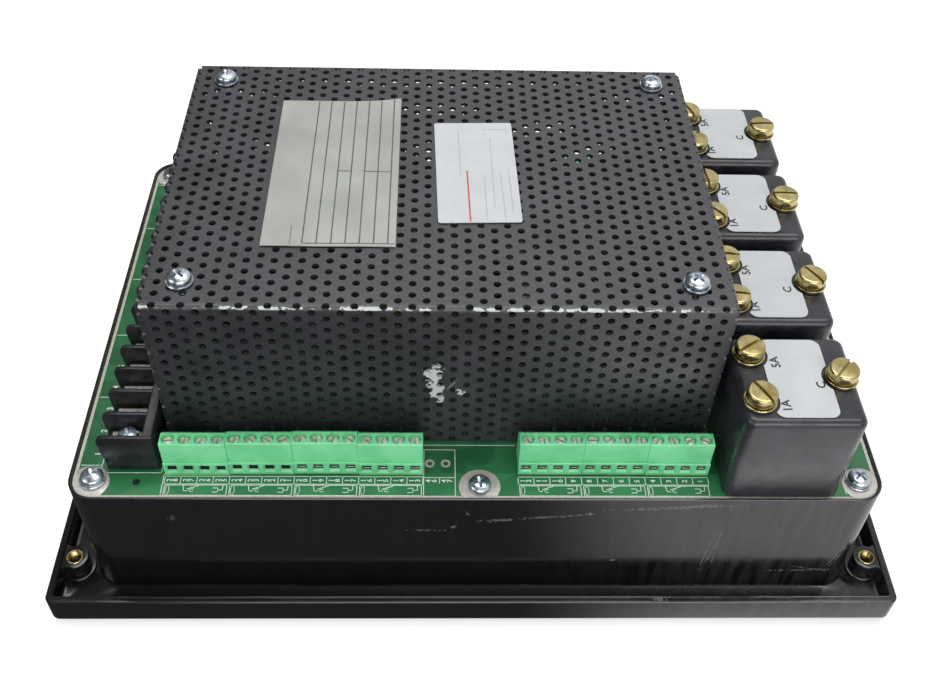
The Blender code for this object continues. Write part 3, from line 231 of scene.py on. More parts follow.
scene.world = bpy.data.worlds.new("studio")
scene.world.use_nodes = True
tree = scene.world.node_tree
tree.nodes.clear()
aside = split(tree, add(tree, "ShaderNodeTexCoord").outputs["Generated"])[0]
sky = ramp(tree, aside, SKY_LEFT[0], SKY_RIGHT[0], SKY_LEFT[1], SKY_RIGHT[1])
level_for_gloss = add(tree, "ShaderNodeMix", {0: ray(tree, "Glossy"), 2: WORLD_LEVEL, 3: sky}).outputs[0]
strength = maths(tree, "MAXIMUM", level_for_gloss, ray(tree, "Camera", "Transmission"))
light = add(tree, "ShaderNodeBackground", {"Color": (1, 1, 1, 1), "Strength": strength})
add(tree, "ShaderNodeOutputWorld", {0: light.outputs[0]})

for name, place, target_height, size, power in (
        ("overhead_softbox", (0.1, 0.25, 1.3), 0.05, (1.2, 0.5), 9.0),
        ("left_softbox", (-1.1, -0.5, 0.9), 0.05, (0.7, 0.7), 4.0),
        ("front_softbox", (0.15, -1.1, 0.75), 0.06, (1.1, 0.5), 7.0)):
    data = bpy.data.lights.new(name, "AREA")
    data.shape = "RECTANGLE"
    data.size, data.size_y = size
    data.energy = power
    lamp = link(name, data)
    lamp.location = place
    lamp.rotation_euler = (Vector((0, 0, target_height)) - Vector(place)).to_track_quat("-Z", "Y").to_euler()
print("stage ready")

# %% [markdown]
# Shapes are built in millimetres and turned into metres when a piece is finished, so the numbers read as on a
# drawing. Most pieces are lofts: a row of equal loops joined by faces. A loft is easier to resize than a
# sculpted cube, and its edges can be rounded by a few extra loops, which is what makes moulded plastic catch
# the light. Cuts are exact Booleans on the working mesh.
# %% Mesh helpers
def extent(node):
    """Lowest and highest corner of a model node, in mm."""
    low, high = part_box(node)
    return low / MM, high / MM


def middle(node):
    """Middle of a model node, in mm."""
    low, high = extent(node)
    return (low + high) / 2


def numbered(stem, count):
    """Names of a numbered row of model nodes."""
    return [f"{stem}_{number}" for number in range(1, count + 1)]


def arc(radius, top, steps=3):
    """Insets and heights that round an upper edge, from the side to the top."""
    return [(radius * (1 - math.cos(angle)), top - radius * (1 - math.sin(angle)))
            for angle in np.linspace(0, QUARTER, steps + 1)]


def corner_loop(half, radius, z, centre=(0.0, 0.0), steps=12):
    """Points round a rectangle with arc corners."""
    return [(centre[0] + x * (half[0] - radius) + radius * math.cos(angle),
             centre[1] + y * (half[1] - radius) + radius * math.sin(angle), z)
            for quarter, (x, y) in enumerate(((1, 1), (-1, 1), (-1, -1), (1, -1)))
            for angle in np.linspace(quarter, quarter + 1, steps + 1) * QUARTER]


def tier(half, radius, levels, centre=(0.0, 0.0), steps=12, least=0.01, fixed=False):
    """Loops of a rounded rectangle, one for each (inset, height); a fixed corner radius stays as given."""
    return [corner_loop((half[0] - inset, half[1] - inset), radius if fixed else max(radius - inset, least),
                        z, centre, steps) for inset, z in levels]


def skin(loops, ring=False, into=None):
    """Join equal loops with faces; the ends are capped, or meet when the section is a ring."""
    mesh = bmesh.new() if into is None else into
    rows = [[mesh.verts.new(point) for point in loop] for loop in loops]
    for first, second in zip(rows, rows[1:] + rows[:1] if ring else rows[1:]):
        for index in range(len(first)):
            after = (index + 1) % len(first)
            mesh.faces.new((first[index], first[after], second[after], second[index]))
    if not ring:
        mesh.faces.new(rows[0][::-1])
        mesh.faces.new(rows[-1])
    return mesh


def turned(profile, centre=(0.0, 0.0), sides=32, ring=False, into=None):
    """A solid of revolution from (radius, height) pairs."""
    angles = np.arange(sides) * math.tau / sides
    return skin([[(centre[0] + radius * math.cos(angle), centre[1] + radius * math.sin(angle), z)
                  for angle in angles] for radius, z in profile], ring, into)


def block(low, high, easing=0.0, into=None):
    """A block between two corners, its upright and upper edges eased."""
    centre = ((low[0] + high[0]) / 2, (low[1] + high[1]) / 2)
    half = ((high[0] - low[0]) / 2, (high[1] - low[1]) / 2)
    if not easing:
        return skin([corner_loop(half, 0.0, z, centre, 1)[::2] for z in (low[2], high[2])], into=into)
    return skin(tier(half, easing, [(0, low[2])] + arc(easing, high[2]), centre, 3), into=into)


def evaluated(piece):
    """A new mesh of an object as its modifiers make it."""
    return bpy.data.meshes.new_from_object(piece.evaluated_get(bpy.context.evaluated_depsgraph_get()))


def carve(mesh, *tools, operation="DIFFERENCE"):
    """Cut tool bodies out of a mesh, or join them, by exact Booleans, one after another."""
    for tool in tools:
        pair = []
        for one in (mesh, tool):
            bmesh.ops.recalc_face_normals(one, faces=one.faces)
            data = bpy.data.meshes.new("work")
            one.to_mesh(data)
            one.free()
            pair.append(link("work", data))
        step = pair[0].modifiers.new("cut", "BOOLEAN")
        step.object, step.operation, step.solver = pair[1], operation, "EXACT"
        mesh = bmesh.new()
        mesh.from_mesh(evaluated(pair[0]))
        for one in pair:
            bpy.data.objects.remove(one, do_unlink=True)
    return mesh


def working_object(name, mesh):
    """A scene object, in metres, from a working mesh."""
    bmesh.ops.recalc_face_normals(mesh, faces=mesh.faces)
    bmesh.ops.scale(mesh, vec=(MM, MM, MM), verts=mesh.verts)
    data = bpy.data.meshes.new(name)
    mesh.to_mesh(data)
    mesh.free()
    return link(name, data)


def settle(name, piece, material, nodes=(), body=ROOT, sharp=32):
    """Give a piece its surface and shading, tie it to its body, and hide the model nodes it stands for."""
    if isinstance(piece, bmesh.types.BMesh):
        piece = working_object(name, piece)
    piece.data.materials.clear()
    piece.data.materials.append(material)
    piece.data.shade_smooth()
    piece.data.set_sharp_from_angle(angle=math.radians(sharp))
    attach(piece, body)
    if nodes:
        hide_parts(*nodes)
    print(name, len(piece.data.polygons), "faces")
    return piece


print("mesh helpers ready")

# %% [markdown]
# Screws, washers, terminals and transformers repeat. One geometry tree serves them all: it puts a copy of a
# part on every vertex of a set of places, turned about Z by the angle stored there, makes the copies real
# and gives them their surface. Copying by a loop would do the same, but the tree keeps the part and its
# places apart, so either can be changed alone.
# %% Copies on places
def geometry_tree(name, output, **inputs):
    """A new geometry tree with named inputs; gives it and the node that holds them."""
    tree = bpy.data.node_groups.new(name, "GeometryNodeTree")
    for key, kind in inputs.items():
        tree.interface.new_socket(key.replace("_", " "), in_out="INPUT", socket_type="NodeSocket" + kind)
    tree.interface.new_socket(output, in_out="OUTPUT", socket_type="NodeSocketGeometry")
    return tree, add(tree, "NodeGroupInput").outputs


def grown(piece, tree, **values):
    """Run a geometry tree on a piece, its named inputs set by identifier, and keep the result as a mesh."""
    step = piece.modifiers.new(tree.name, "NODES")
    step.node_group = tree
    for item in tree.interface.items_tree:
        if item.item_type == "SOCKET" and item.in_out == "INPUT" and item.name.replace(" ", "_") in values:
            step[item.identifier] = values[item.name.replace(" ", "_")]
    piece.data = evaluated(piece)
    piece.modifiers.remove(step)


copy_tree, given = geometry_tree("copies_on_places", "Copies", Places="Geometry", Part="Object", Surface="Material")
part = add(copy_tree, "GeometryNodeObjectInfo", {"Object": given["Part"]})
turn = add(copy_tree, "GeometryNodeInputNamedAttribute", {"Name": "turn"}, data_type="FLOAT")
angles = add(copy_tree, "ShaderNodeCombineXYZ", {"Z": turn.outputs[0]})
spread = add(copy_tree, "GeometryNodeInstanceOnPoints", {
    "Points": given["Places"], "Instance": part.outputs["Geometry"], "Rotation": angles.outputs[0]})
real = add(copy_tree, "GeometryNodeRealizeInstances", {"Geometry": spread.outputs[0]})
dressed = add(copy_tree, "GeometryNodeSetMaterial", {"Geometry": real.outputs[0], "Material": given["Surface"]})
add(copy_tree, "NodeGroupOutput", {"Copies": dressed.outputs[0]})


def copies(name, part_mesh, places, material, nodes=(), turns=None):
    """One piece of copies of a part, at places in mm and each turned by its own angle in degrees."""
    part = working_object(name + "_part", part_mesh)
    data = bpy.data.meshes.new(name)
    data.from_pydata([Vector(place) * MM for place in places], [], [])
    data.attributes.new("turn", "FLOAT", "POINT").data.foreach_set(
        "value", np.radians(turns if turns is not None else [0.0] * len(places)).astype(np.float32))
    piece = link(name, data)
    grown(piece, copy_tree, Part=part, Surface=material)
    bpy.data.objects.remove(part, do_unlink=True)
    settle(name, piece, material, nodes)


print("copy tree has", len(copy_tree.nodes), "nodes")

# %% [markdown]
# The housing is one injection moulding of black ABS, polished in the tool, so it mirrors the room in soft
# streaks and shows every fine scratch. The colour is nearly even; the look comes from roughness that varies
# in clouds and in a few soft upright smears, and from a very low waviness. The scuffs, the scratches and the
# small chips of the front wall are laid where they are on the real one.
# %% Black moulded plastic
WALL_INSET = 11.05
WALL_Y = extent("housing")[0].y + WALL_INSET
SMEAR_START, SMEAR_END = 0.02, 0.09
FRONT_START, FRONT_END = -0.082, -0.070
# Middle, half sizes in mm, tilt, raggedness, grain and weight of each worn spot
WEAR = (
    ((7.4, WALL_Y, 45.0), (4.2, 2, 0.5), 5, 1.1, 0.7, 0.5),
    ((22.4, WALL_Y, 46.8), (8.5, 2, 0.35), 6, 1.2, 0.7, 0.42),
    ((63.4, WALL_Y, 51.9), (12.5, 2, 0.5), 4, 1.1, 0.8, 0.55),
    ((72.0, WALL_Y, 52.9), (4.0, 2, 0.6), 3, 0.9, 0.8, 0.6),
    ((35.4, WALL_Y, 48.6), (0.8, 2, 0.4), -17, 0.5, 0.8, 0.8),
    ((-3.8, WALL_Y, 48.6), (0.4, 2, 0.9), 20, 0.6, 0.8, 0.5),
    ((-8.1, WALL_Y, 41.0), (0.8, 2, 0.5), 30, 0.6, 0.8, 0.5),
    ((-17.0, WALL_Y, 39.3), (4.0, 2, 0.4), 0, 1.0, 0.8, 0.3),
    ((46.0, WALL_Y, 21.4), (0.7, 2, 0.6), 0, 0.5, 0.8, 0.6),
    ((-97.4, WALL_Y, 45.9), (1.0, 2, 0.8), 30, 0.9, 0.7, 0.3),
    ((78.4, WALL_Y, 27.6), (0.32, 2, 12.4), -7, 0.6, 4.0, 0.35),
    ((76.5, WALL_Y, 24.6), (0.28, 2, 9.0), -4, 0.6, 4.0, 0.35),
    ((79.6, WALL_Y, 24.6), (0.28, 2, 9.0), -1, 0.6, 4.0, 0.3),
    ((112.5, WALL_Y, 15.2), (9.0, 2, 0.35), 2, 0.9, 1.5, 0.4),
    ((116.5, WALL_Y, 15.6), (8.0, 2, 0.28), -12, 0.8, 1.5, 0.35),
    ((120.9, WALL_Y, 24.0), (0.35, 2, 8.0), -14, 0.6, 3.0, 0.35),
    ((122.5, WALL_Y, 25.0), (0.28, 2, 6.5), -16, 0.6, 3.0, 0.35),
    ((62.3, -93.9, 12.5), (2.2, 1.0, 0.6), 0, 0.7, 1.0, 0.6))
black_plastic, tree, shader, place = bare("black_moulded_abs", Coat_Weight=0.1, Coat_Roughness=0.08)
clouds = mottle(tree, place, 18, 0.14, 4, (0.12, 0.24))
upright_marks = mottle(tree, place, 14, stretch=(5, 5, 0.6))
along, inward, _ = split(tree, place)
towards_right = ramp(tree, along, SMEAR_START, SMEAR_END, 0.1, 1.0)
on_front = ramp(tree, inward, FRONT_START, FRONT_END, 1.0, 0.2)
smears = maths(tree, "MULTIPLY", maths(tree, "SUBTRACT", 1.0, upright_marks),
               maths(tree, "MULTIPLY", towards_right, on_front))
scuffs = 0.0
for *spot, weight in WEAR:
    scuffs = maths(tree, "MAXIMUM", scuffs, maths(tree, "MULTIPLY", patch(tree, place, *spot), weight))
wear = maths(tree, "ADD", maths(tree, "MULTIPLY", smears, 0.07), maths(tree, "MULTIPLY", scuffs, 0.8))
finish(tree, shader, blended(tree, maths(tree, "MULTIPLY", wear, 0.6), "#121214", "#a0a1a3"),
       maths(tree, "ADD", clouds, wear), mottle(tree, place, 24, 0.3, 1), 0.05, 0.4)
print("black plastic ready")

# %% [markdown]
# The bezel has a rounded front edge, a rim and a trough behind it, and the tub rises from the trough. One
# section lofted round the rectangle gives all of it, with small fillets where walls meet and a fine bead
# along the inner edge of the rim, which catches the light as a bright line.
# %% Housing shell
flange = extent("housing")[1].xy
board_high = extent("rear_board")[1]
tub = board_high.xy + Vector((1.6, 1.6))
recess = tub - Vector((7.0, 7.0))
on_board = extent("barrier_strip")[0].z
BOARD_TOP = 55.1
FLANGE_RADIUS, FLANGE_TOP, RIM_WALL = 2.8, 12.5, 2.7
FRONT_ROUND = 2.9
BEAD = ((1.0, 0.0), (0.75, 0.3), (0.45, 0.35), (0.15, 0.1), (0.0, -0.4))
TROUGH = 5.5
TUB_RADIUS, TUB_TOP, TUB_WALL, LEDGE = 8.5, 56.1, 2.5, 53.2
LIP = 0.9

around_flange = [(FRONT_ROUND * (1 - math.sin(angle)), FRONT_ROUND * (1 - math.cos(angle)))
                 for angle in np.linspace(0, QUARTER, 9)]
around_flange += arc(0.4, FLANGE_TOP)
around_flange += [(RIM_WALL - back, FLANGE_TOP + rise) for back, rise in BEAD]
around_flange += [(RIM_WALL + inset, 2 * TROUGH + 1.0 - z) for inset, z in arc(1.0, TROUGH + 1.0)]
around_tub = [(-inset, 2 * TROUGH + 1.2 - z) for inset, z in reversed(arc(1.2, TROUGH + 1.2))]
around_tub += arc(0.4, TUB_TOP)
around_tub += [(LIP - inset, z) for inset, z in reversed(arc(0.3, TUB_TOP))]
around_tub += [(LIP, LEDGE), (TUB_WALL, LEDGE), (TUB_WALL, 6.0)]
loops = []
for half, radius, levels in ((recess, 4, ((0, 3.5), (0, 0.3), (-0.3, 0))), (flange, FLANGE_RADIUS, around_flange),
                             (tub, TUB_RADIUS, around_tub)):
    loops += tier(half, radius, levels, steps=16, least=0.8)
shell = skin(loops)
print("section loops:", len(loops))

# %% [markdown]
# Each corner of the rim holds a boss for a threaded insert. The boss runs into the rim wall: its outline is a
# circle that opens towards the rim. The openings for the window, the keys and the lights are cut last.
# %% Bosses, openings and finish of the housing
boss_places = [middle(node).xy for node in numbered("threaded_insert", 4)]
BOSS_RADIUS = 4.6
BOSS_TOP = 12.4
BOSS_ROOT = 1.5
FOOT_RADIUS, FOOT_TOP = 6.0, 6.6
BORE = 3.05
INSERT_DEPTH = 8.2
FLARE = ((3.9, -4.5), (4.4, -4.9), (4.9, -5.3), (4.9, 5.3), (4.4, 4.9), (3.9, 4.5))
LED_MIDDLE, LED_STEP = -73.93, 14.0


def boss_outline(place, grow, z):
    """A circle that opens towards the rim with a small flare."""
    side = math.copysign(1, place.x)
    radius = BOSS_RADIUS + grow
    points = [(place.x + side * radius * math.cos(angle), place.y + radius * math.sin(angle), z)
              for angle in np.radians(np.linspace(66, 294, 28))]
    return points + [(place.x + side * (x + grow / 2), place.y + (y + math.copysign(grow, y)), z) for x, y in FLARE]


feet, bosses, holes = (bmesh.new() for _ in range(3))
for place in boss_places:
    turned([(FOOT_RADIUS, BOSS_ROOT)] + [(FOOT_RADIUS - inset, z) for inset, z in arc(0.4, FOOT_TOP)],
           place, 36, into=feet)
    skin([boss_outline(place, -inset, z) for inset, z in [(0.0, BOSS_ROOT)] + arc(0.35, BOSS_TOP)], into=bosses)
    turned([(BORE, BOSS_TOP - INSERT_DEPTH - 0.3), (BORE, BOSS_TOP + 1)], place, into=holes)
shell = carve(shell, feet, bosses, operation="UNION")
window_low, window_high = extent("display_window")
keys = [extent(f"key_{number:02d}") for number in range(1, 7)]
key_low = Vector([min(low[axis] for low, _ in keys) for axis in range(3)])
key_high = Vector([max(high[axis] for _, high in keys) for axis in range(3)])
led_x = [LED_MIDDLE + (index - 2) * LED_STEP for index in range(5)]
led_y = (window_low.y + window_high.y) / 2
for low, high, room in ((window_low, window_high, 0.3), (key_low, key_high, 3),
                        (Vector((led_x[0], led_y, 0)), Vector((led_x[-1], led_y, 0)), 4.9)):
    block((low.x - room, low.y - room, 1), (high.x + room, high.y + room, 9), into=holes)
settle("housing_shell", carve(shell, holes), black_plastic, ["housing"], sharp=28)

# %% [markdown]
# A brass threaded insert is a knurled tube pressed into each boss. Only its mouth shows: a bright ring and the
# first threads, half lit and half dark. Brass is a metal with a yellow base colour; turning marks are rings
# too fine to draw, so a slight roughness variation stands for them. The threads are rings, not a helix,
# because nobody can tell at this size.
# %% Brass, and the threaded inserts
brass = surface("turned_brass", ("#a6945e", "#cabd8d"), (5, 0.22, 3), (2.5, 0.2, 3, (0.16, 0.36)),
                (0.5, 0.3, 2, 0.02, 0.6), Metallic=1.0)
THREAD_PITCH = 0.8
THREAD_CREST, THREAD_ROOT = 2.12, 2.45
profile = [(2.9, -INSERT_DEPTH), (2.9, -0.15), (2.75, 0.0), (2.55, 0.0)]
for ridge in range(int((INSERT_DEPTH - 0.6) / THREAD_PITCH)):
    profile += [(THREAD_ROOT, -0.2 - ridge * THREAD_PITCH), (THREAD_CREST, -0.2 - (ridge + 0.5) * THREAD_PITCH)]
profile.append((THREAD_ROOT, -INSERT_DEPTH))
copies("threaded_inserts", turned(profile, sides=28, ring=True), [(*spot, BOSS_TOP) for spot in boss_places],
       brass, numbered("threaded_insert", 4))

# %% [markdown]
# The rear board is glass-fibre laminate: its cut edge is pale, and green solder mask covers its face up to
# about a millimetre from the edge. Copper under the mask makes it a little lighter. The board is a plate, and
# the mask, the tinned rings under the screws and the white printing are thin layers on it, each with its own
# surface, because that is how the real one is built up.
# %% Board materials
FRONT_BAND_END = -73.2
laminate = surface("glass_fibre_laminate", ("#b4b4a6", "#cfcfc2"), (1.2, 0.2), 0.55)
tin = surface("tinned_copper", ("#b8b3af", "#cdc8c4"), (1.6, 0.2, 3), (1.0, 0.2, 3, (0.28, 0.5)), Metallic=0.3)
white_print = surface("white_screen_print", ("#c3d2c6", "#eaf0ea"), (0.8, 0.2))
solder_mask, tree, shader, place = bare("green_solder_mask", Coat_Weight=0.3, Coat_Roughness=0.12)
copper = mottle(tree, place, 14, 0.03, 1)
front_band = maths(tree, "LESS_THAN", split(tree, place)[1], FRONT_BAND_END * MM)
tone = maths(tree, "ADD", maths(tree, "MULTIPLY", copper, 0.35), maths(tree, "MULTIPLY", front_band, 0.45))
finish(tree, shader, blended(tree, tone, "#185c33", "#378352"), 0.3, copper, 0.03, 0.6)
print("board materials ready")

# %% Board, mask and pads
CORNER = 7.4
MASK_INSET = 1.1
PAD_RADIUS, MID_PAD_RADIUS = 6.5, 6.6
# The corner pads reach further out than their screws
PAD_SHIFT = Vector((1.3, 1.0))
PAD_MARGIN = 0.35
board_edge = board_high.xy + Vector((0.5, 0.5))
settle("rear_board_laminate", skin(tier(board_edge, CORNER, [(0, 53.5)] + arc(0.15, BOARD_TOP), steps=16)),
       laminate, ["rear_board"])
settle("rear_board_mask", skin(tier(board_edge, CORNER, [
    (MASK_INSET, BOARD_TOP - 0.05), (MASK_INSET, BOARD_TOP + 0.04)], steps=16)), solder_mask)
screw_places = [middle(node).xy for node in numbered("rear_board_screw", 6)]


def pad_outline(place, radius, z):
    """A round pad cut off where the board ends, following its rounded corner."""
    points = []
    limit = board_edge - Vector((PAD_MARGIN, PAD_MARGIN))
    bend = CORNER - PAD_MARGIN
    for angle in np.arange(48) * math.tau / 48:
        x = place.x + radius * math.cos(angle)
        y = place.y + radius * math.sin(angle)
        x, y = max(-limit.x, min(limit.x, x)), max(-limit.y, min(limit.y, y))
        past = Vector((abs(x) - (limit.x - bend), abs(y) - (limit.y - bend)))
        if past.x > 0 and past.y > 0 and past.length > bend:
            past *= bend / past.length
            x = math.copysign(limit.x - bend + past.x, x)
            y = math.copysign(limit.y - bend + past.y, y)
        points.append((x, y, z))
    return points


pads = bmesh.new()
for number, spot in enumerate(screw_places):
    radius = MID_PAD_RADIUS
    if number < 4:
        radius = PAD_RADIUS
        spot = spot + Vector((math.copysign(PAD_SHIFT.x, spot.x), math.copysign(PAD_SHIFT.y, spot.y)))
    skin([pad_outline(spot, radius - trim, BOARD_TOP + rise) for trim, rise in ((0, 0), (0, 0.05), (0.08, 0.09))],
         into=pads)
for spot in ((-15.8, -69.4), (-10.7, -69.4)):
    turned([(radius, BOARD_TOP + rise) for radius, rise in ((1.6, 0), (1.6, 0.08), (0.95, 0.08), (0.75, 0.02))],
           spot, 20, ring=True, into=pads)
settle("tinned_pads", pads, tin)

# %% [markdown]
# Printed marks on a board are a thin layer of white ink. A stroke is a flat bar between two points, and a
# drawn frame is four of them. Terminal numbers are text turned into mesh before it is placed. Only the
# frames, the wiring symbols and plain numbers are drawn here.
# %% Ink strokes and numbers
INK_TOP = BOARD_TOP + 0.075
FIGURE_LEVEL = INK_TOP - 0.03
INK_WIDTH, INK_THICKNESS = 0.24, 0.06
CAPITAL_SHARE = 0.7
BOLDNESS = 0.035


def stroke(mesh, start, end, z=INK_TOP, width=INK_WIDTH, thickness=INK_THICKNESS):
    """A flat bar of ink between two points in mm."""
    start, end = Vector(start), Vector(end)
    along = (end - start).normalized() * width / 2
    aside = Vector((-along.y, along.x))
    flat = [start - along + aside, start - along - aside, end + along - aside, end + along + aside]
    skin([[(spot.x, spot.y, height) for spot in flat] for height in (z - thickness, z)], into=mesh)


def outline(mesh, points, closed=False):
    """Strokes through a list of points."""
    for start, end in zip(points, points[1:] + points[:1] if closed else points[1:]):
        stroke(mesh, start, end)


def frame_box(mesh, left, low, right, high):
    """A drawn rectangle."""
    outline(mesh, [(left, low), (right, low), (right, high), (left, high)], True)


def lettering(mesh, words, size, place, turn=90.0):
    """Add flat figures to a mesh: capital height in mm, centred on a place, turned in degrees."""
    curve = bpy.data.curves.new("figures", "FONT")
    curve.body, curve.size, curve.extrude = words, size / CAPITAL_SHARE, INK_THICKNESS / 2
    curve.resolution_u, curve.offset = 2, BOLDNESS * size
    curve.align_x, curve.align_y = "CENTER", "CENTER"
    holder = link("figures", curve)
    flat = evaluated(holder)
    bpy.data.objects.remove(holder, do_unlink=True)
    flat.transform(Matrix.Translation(place) @ Matrix.Rotation(math.radians(turn), 4, "Z"))
    mesh.from_mesh(flat)


POLE = 5.08
UNIT_POLES = 4
UNIT = UNIT_POLES * POLE
NUMBERS_LOW, NUMBERS_HIGH = -77.7, -74.7
# Points of the wiring symbol under each unit, from the unit's left end
RING = [(1.4 + 0.6 * math.cos(a), -80.0 + 1.75 * math.sin(a)) for a in np.arange(12) * math.tau / 12]
SYMBOL = (
    [(6.2, -78.3), (6.6, -80.3), (7.6, -80.3)],
    [(11.0, -78.3), (7.6, -79.6)],
    [(9.4, -79.6), (8.6, -79.6), (8.2, -80.1), (8.6, -80.6), (9.4, -80.6)],
    [(15.6, -79.2), (17.2, -79.2), (17.2, -80.8), (15.6, -80.8)],
    [(17.2, -80.0), (18.6, -80.0), (18.6, -78.3)])
CLEARANCE = 0.15
ink = bmesh.new()
for block_number, poles, last in ((1, 16, 13), (3, 12, 1)):
    start = extent(f"terminal_block_front_{block_number}")[0].x - CLEARANCE
    frame_box(ink, start + 0.1, NUMBERS_LOW, start + poles * POLE - 0.1, NUMBERS_HIGH)
    for pole in range(poles):
        if pole:
            stroke(ink, (start + pole * POLE, NUMBERS_LOW), (start + pole * POLE, NUMBERS_HIGH))
        number = str(last + poles - 1 - pole)
        for digit, figure in enumerate(number):
            offset = (digit - (len(number) - 1) / 2) * 1.9
            lettering(ink, figure, 1.6, (start + (pole + 0.5) * POLE + offset, -76.2, FIGURE_LEVEL))
    for left in np.arange(poles // UNIT_POLES) * UNIT + start:
        frame_box(ink, left + 0.45, -82.0, left + UNIT - 0.45, -78.1)
        outline(ink, [(left + x, y) for x, y in RING], True)
        for points in SYMBOL:
            outline(ink, [(left + x, y) for x, y in points])
frame_box(ink, -17.7, -82.2, -7.7, -63.9)
strip_low, strip_high = extent("barrier_strip")
frame_box(ink, strip_low.x - 1.0, strip_low.y - 1.2, strip_high.x + 0.8, strip_high.y + 1.0)
for start, end in (((-17.7, -75.0), (-7.7, -75.0)), ((-12.7, -75.0), (-12.7, -77.2)), ((-17.7, -62.0), (11.8, -62.0)),
                   ((-99.6, -74.0), (-99.6, -82.0)), ((116.6, -81.0), (116.6, 78.0))):
    stroke(ink, start, end)
for y in (-70.5, -42.2, -13.5, 15.1, 43.8, 70.5):
    stroke(ink, (-126.2, y), (strip_low.x - 1.0, y))
figures = [(figure, 1.6, x, -76.3) for x, figure in ((-16.2, "4"), (-14.3, "6"), (-11.2, "4"), (-9.3, "7"))]
figures += [(str(index + 1), 1.9, -121.9, y) for index, y in enumerate(np.linspace(-66, 66, 15))]
figures += [(figure, 1.9, 119.8, y) for figure, y in (("8", -62.0), ("5", -38.0), ("2", 0.0), ("7", 40.0))]
for figure, size, x, y in figures:
    lettering(ink, figure, size, (x, y, FIGURE_LEVEL))
settle("printed_marks", ink, white_print)
# The drilled hole is a near-black disc on the board: painted shade for the dark inside of the hole.
dark_hole = surface("unlit_drilled_hole", "#050506", rough=(1.0, 0.12, 3, (0.7, 0.95)))
settle("board_hole", turned([(1.25, BOARD_TOP), (1.25, BOARD_TOP + 0.07)], (-107.8, -77.0), 20),
       dark_hole)

# %% [markdown]
# The screw terminals are moulded in green polyamide and come in units of four poles that clip side by side,
# which is why a fine seam shows every fourth pole. One unit is carved once: a foot with a funnel and a
# narrow wire entry at each pole, and a well in the top for each clamp screw. The copy tree sets the units
# out in rows, and turns those of the far row round. The front units sit a few tenths of a millimetre out of
# line, as soldered ones do.
# %% Green polyamide, and one terminal unit
polyamide = surface("green_moulded_polyamide", ("#6bcb8f", "#7ddaa0"), (9, 0.14), (3, 0.2, 3, (0.30, 0.46)),
                    (0.6, 0.3, 2, 0.02, 0.5))
front_low, front_high = extent("terminal_block_front_1")
FACE = front_low.y
DEPTH = front_high.y - FACE
SEAM = 0.04
WELL_RADIUS, WELL_DEPTH = 2.05, 3.25
section = [(0.15, 0), (0.0, 0.3), (0.0, 5.8), (0.2, 6.0), (0.8, 6.0), (0.8, 14.3), (1.1, 14.6), (5.4, 14.6),
           (5.7, 14.45), (DEPTH - 0.1, 10.8), (DEPTH, 10.5), (DEPTH, 0.0)]
unit = skin([[(x, y, z) for y, z in section] for x in (SEAM, UNIT - SEAM)])
funnels, entries, wells = cuts = [bmesh.new() for _ in range(3)]
for pole in range(UNIT_POLES):
    x = (pole + 0.5) * POLE
    block((x - 1.4, 0.5, 2.1), (x + 1.4, 4.5, 4.9), into=entries)
    skin([[(x - half, depth, low), (x + half, depth, low), (x + half, depth, high), (x - half, depth, high)]
          for half, depth, low, high in ((1.9, -0.1, 1.3, 5.05), (1.4, 0.65, 2.1, 4.9))], into=funnels)
    turned([(WELL_RADIUS, 13.0), (WELL_RADIUS, 16.0)], (x, WELL_DEPTH), 24, into=wells)
unit = carve(unit, *cuts)
print("terminal unit:", len(unit.faces), "faces")

# How far single units stand nearer and higher, by block and place in it
SITTING = {(1, 0): (-0.35, -0.28), (1, 1): (-0.1, -0.08), (1, 2): (0.05, 0.1), (2, 0): (-0.25, -0.12),
           (3, 1): (0.0, 0.1), (4, 0): (-0.15, 0.0)}
units, turns, inwards = [], [], []
for inward, row, counts in ((1, "front", (3, 1, 2, 1)), (-1, "back", (4, 3))):
    for number, count in enumerate(counts, 1):
        start = extent(f"terminal_block_{row}_{number}")[0].x - CLEARANCE
        for index in range(count):
            nearer, higher = SITTING.get((number, index), (0.0, 0.0)) if inward > 0 else (0.0, 0.0)
            shift = index if inward > 0 else index + 1
            units.append((start + shift * UNIT, -inward * abs(FACE) + nearer, on_board + higher))
            turns.append(0 if inward > 0 else 180)
            inwards.append(inward)
copies("terminal_blocks", unit, units, polyamide,
       numbered("terminal_block_front", 4) + numbered("terminal_block_back", 2), turns)

# %% [markdown]
# Zinc-plated steel is a cool, slightly mottled metal. It serves the pan head screws and their washers; the
# clamp screws are nickel plated. A clamp screw shows only its slotted end in the well, and each stands at its
# own angle, so the turns come from a seeded random row. The first ones stand as the photograph shows them.
# %% Plated steel, and the clamp screws
zinc = surface("zinc_plated_steel", ("#9eabb8", "#dde3e8"), (2.2, 0.15, 4), (1.4, 0.2, 3, (0.18, 0.36)),
               (0.9, 0.3, 3, 0.02, 0.5), Metallic=1.0)
clamp_steel = surface("nickel_plated_clamp_steel", ("#b7b5a6", "#edece2"), (1.5, 0.15, 4), 0.35,
                      (0.5, 0.3, 2, 0.02, 0.5), Metallic=0.4)
# Painted shade: the steel deep in the wire entries is given a near-black colour for the shadow it lies in.
painted_shade_steel = surface("steel_deep_in_its_entry", "#0d0d0c", rough=(1.2, 0.12, 3, (0.5, 0.8)), Metallic=0.2)
CLAMP_RADIUS, CLAMP_TOP = 1.62, 13.65
FRONT_TURNS = (5, 88, 80, 92, 88, -42, -36, 35, 86, 90, 76, -44, -38, 86, 72, 90)
LIPS_FROM = -60
clamp = carve(turned([(CLAMP_RADIUS, -1.3)] + [(CLAMP_RADIUS - inset, z) for inset, z in arc(0.25, 0.0, 2)], sides=20),
              block((-3, -0.31, -0.7), (3, 0.31, 1)))
pole_spots = [(x + (pole + 0.5) * POLE * inward, y, z, inward)
              for (x, y, z), inward in zip(units, inwards) for pole in range(UNIT_POLES)]
clamp_turns = np.random.default_rng(11).uniform(0, 180, len(pole_spots))
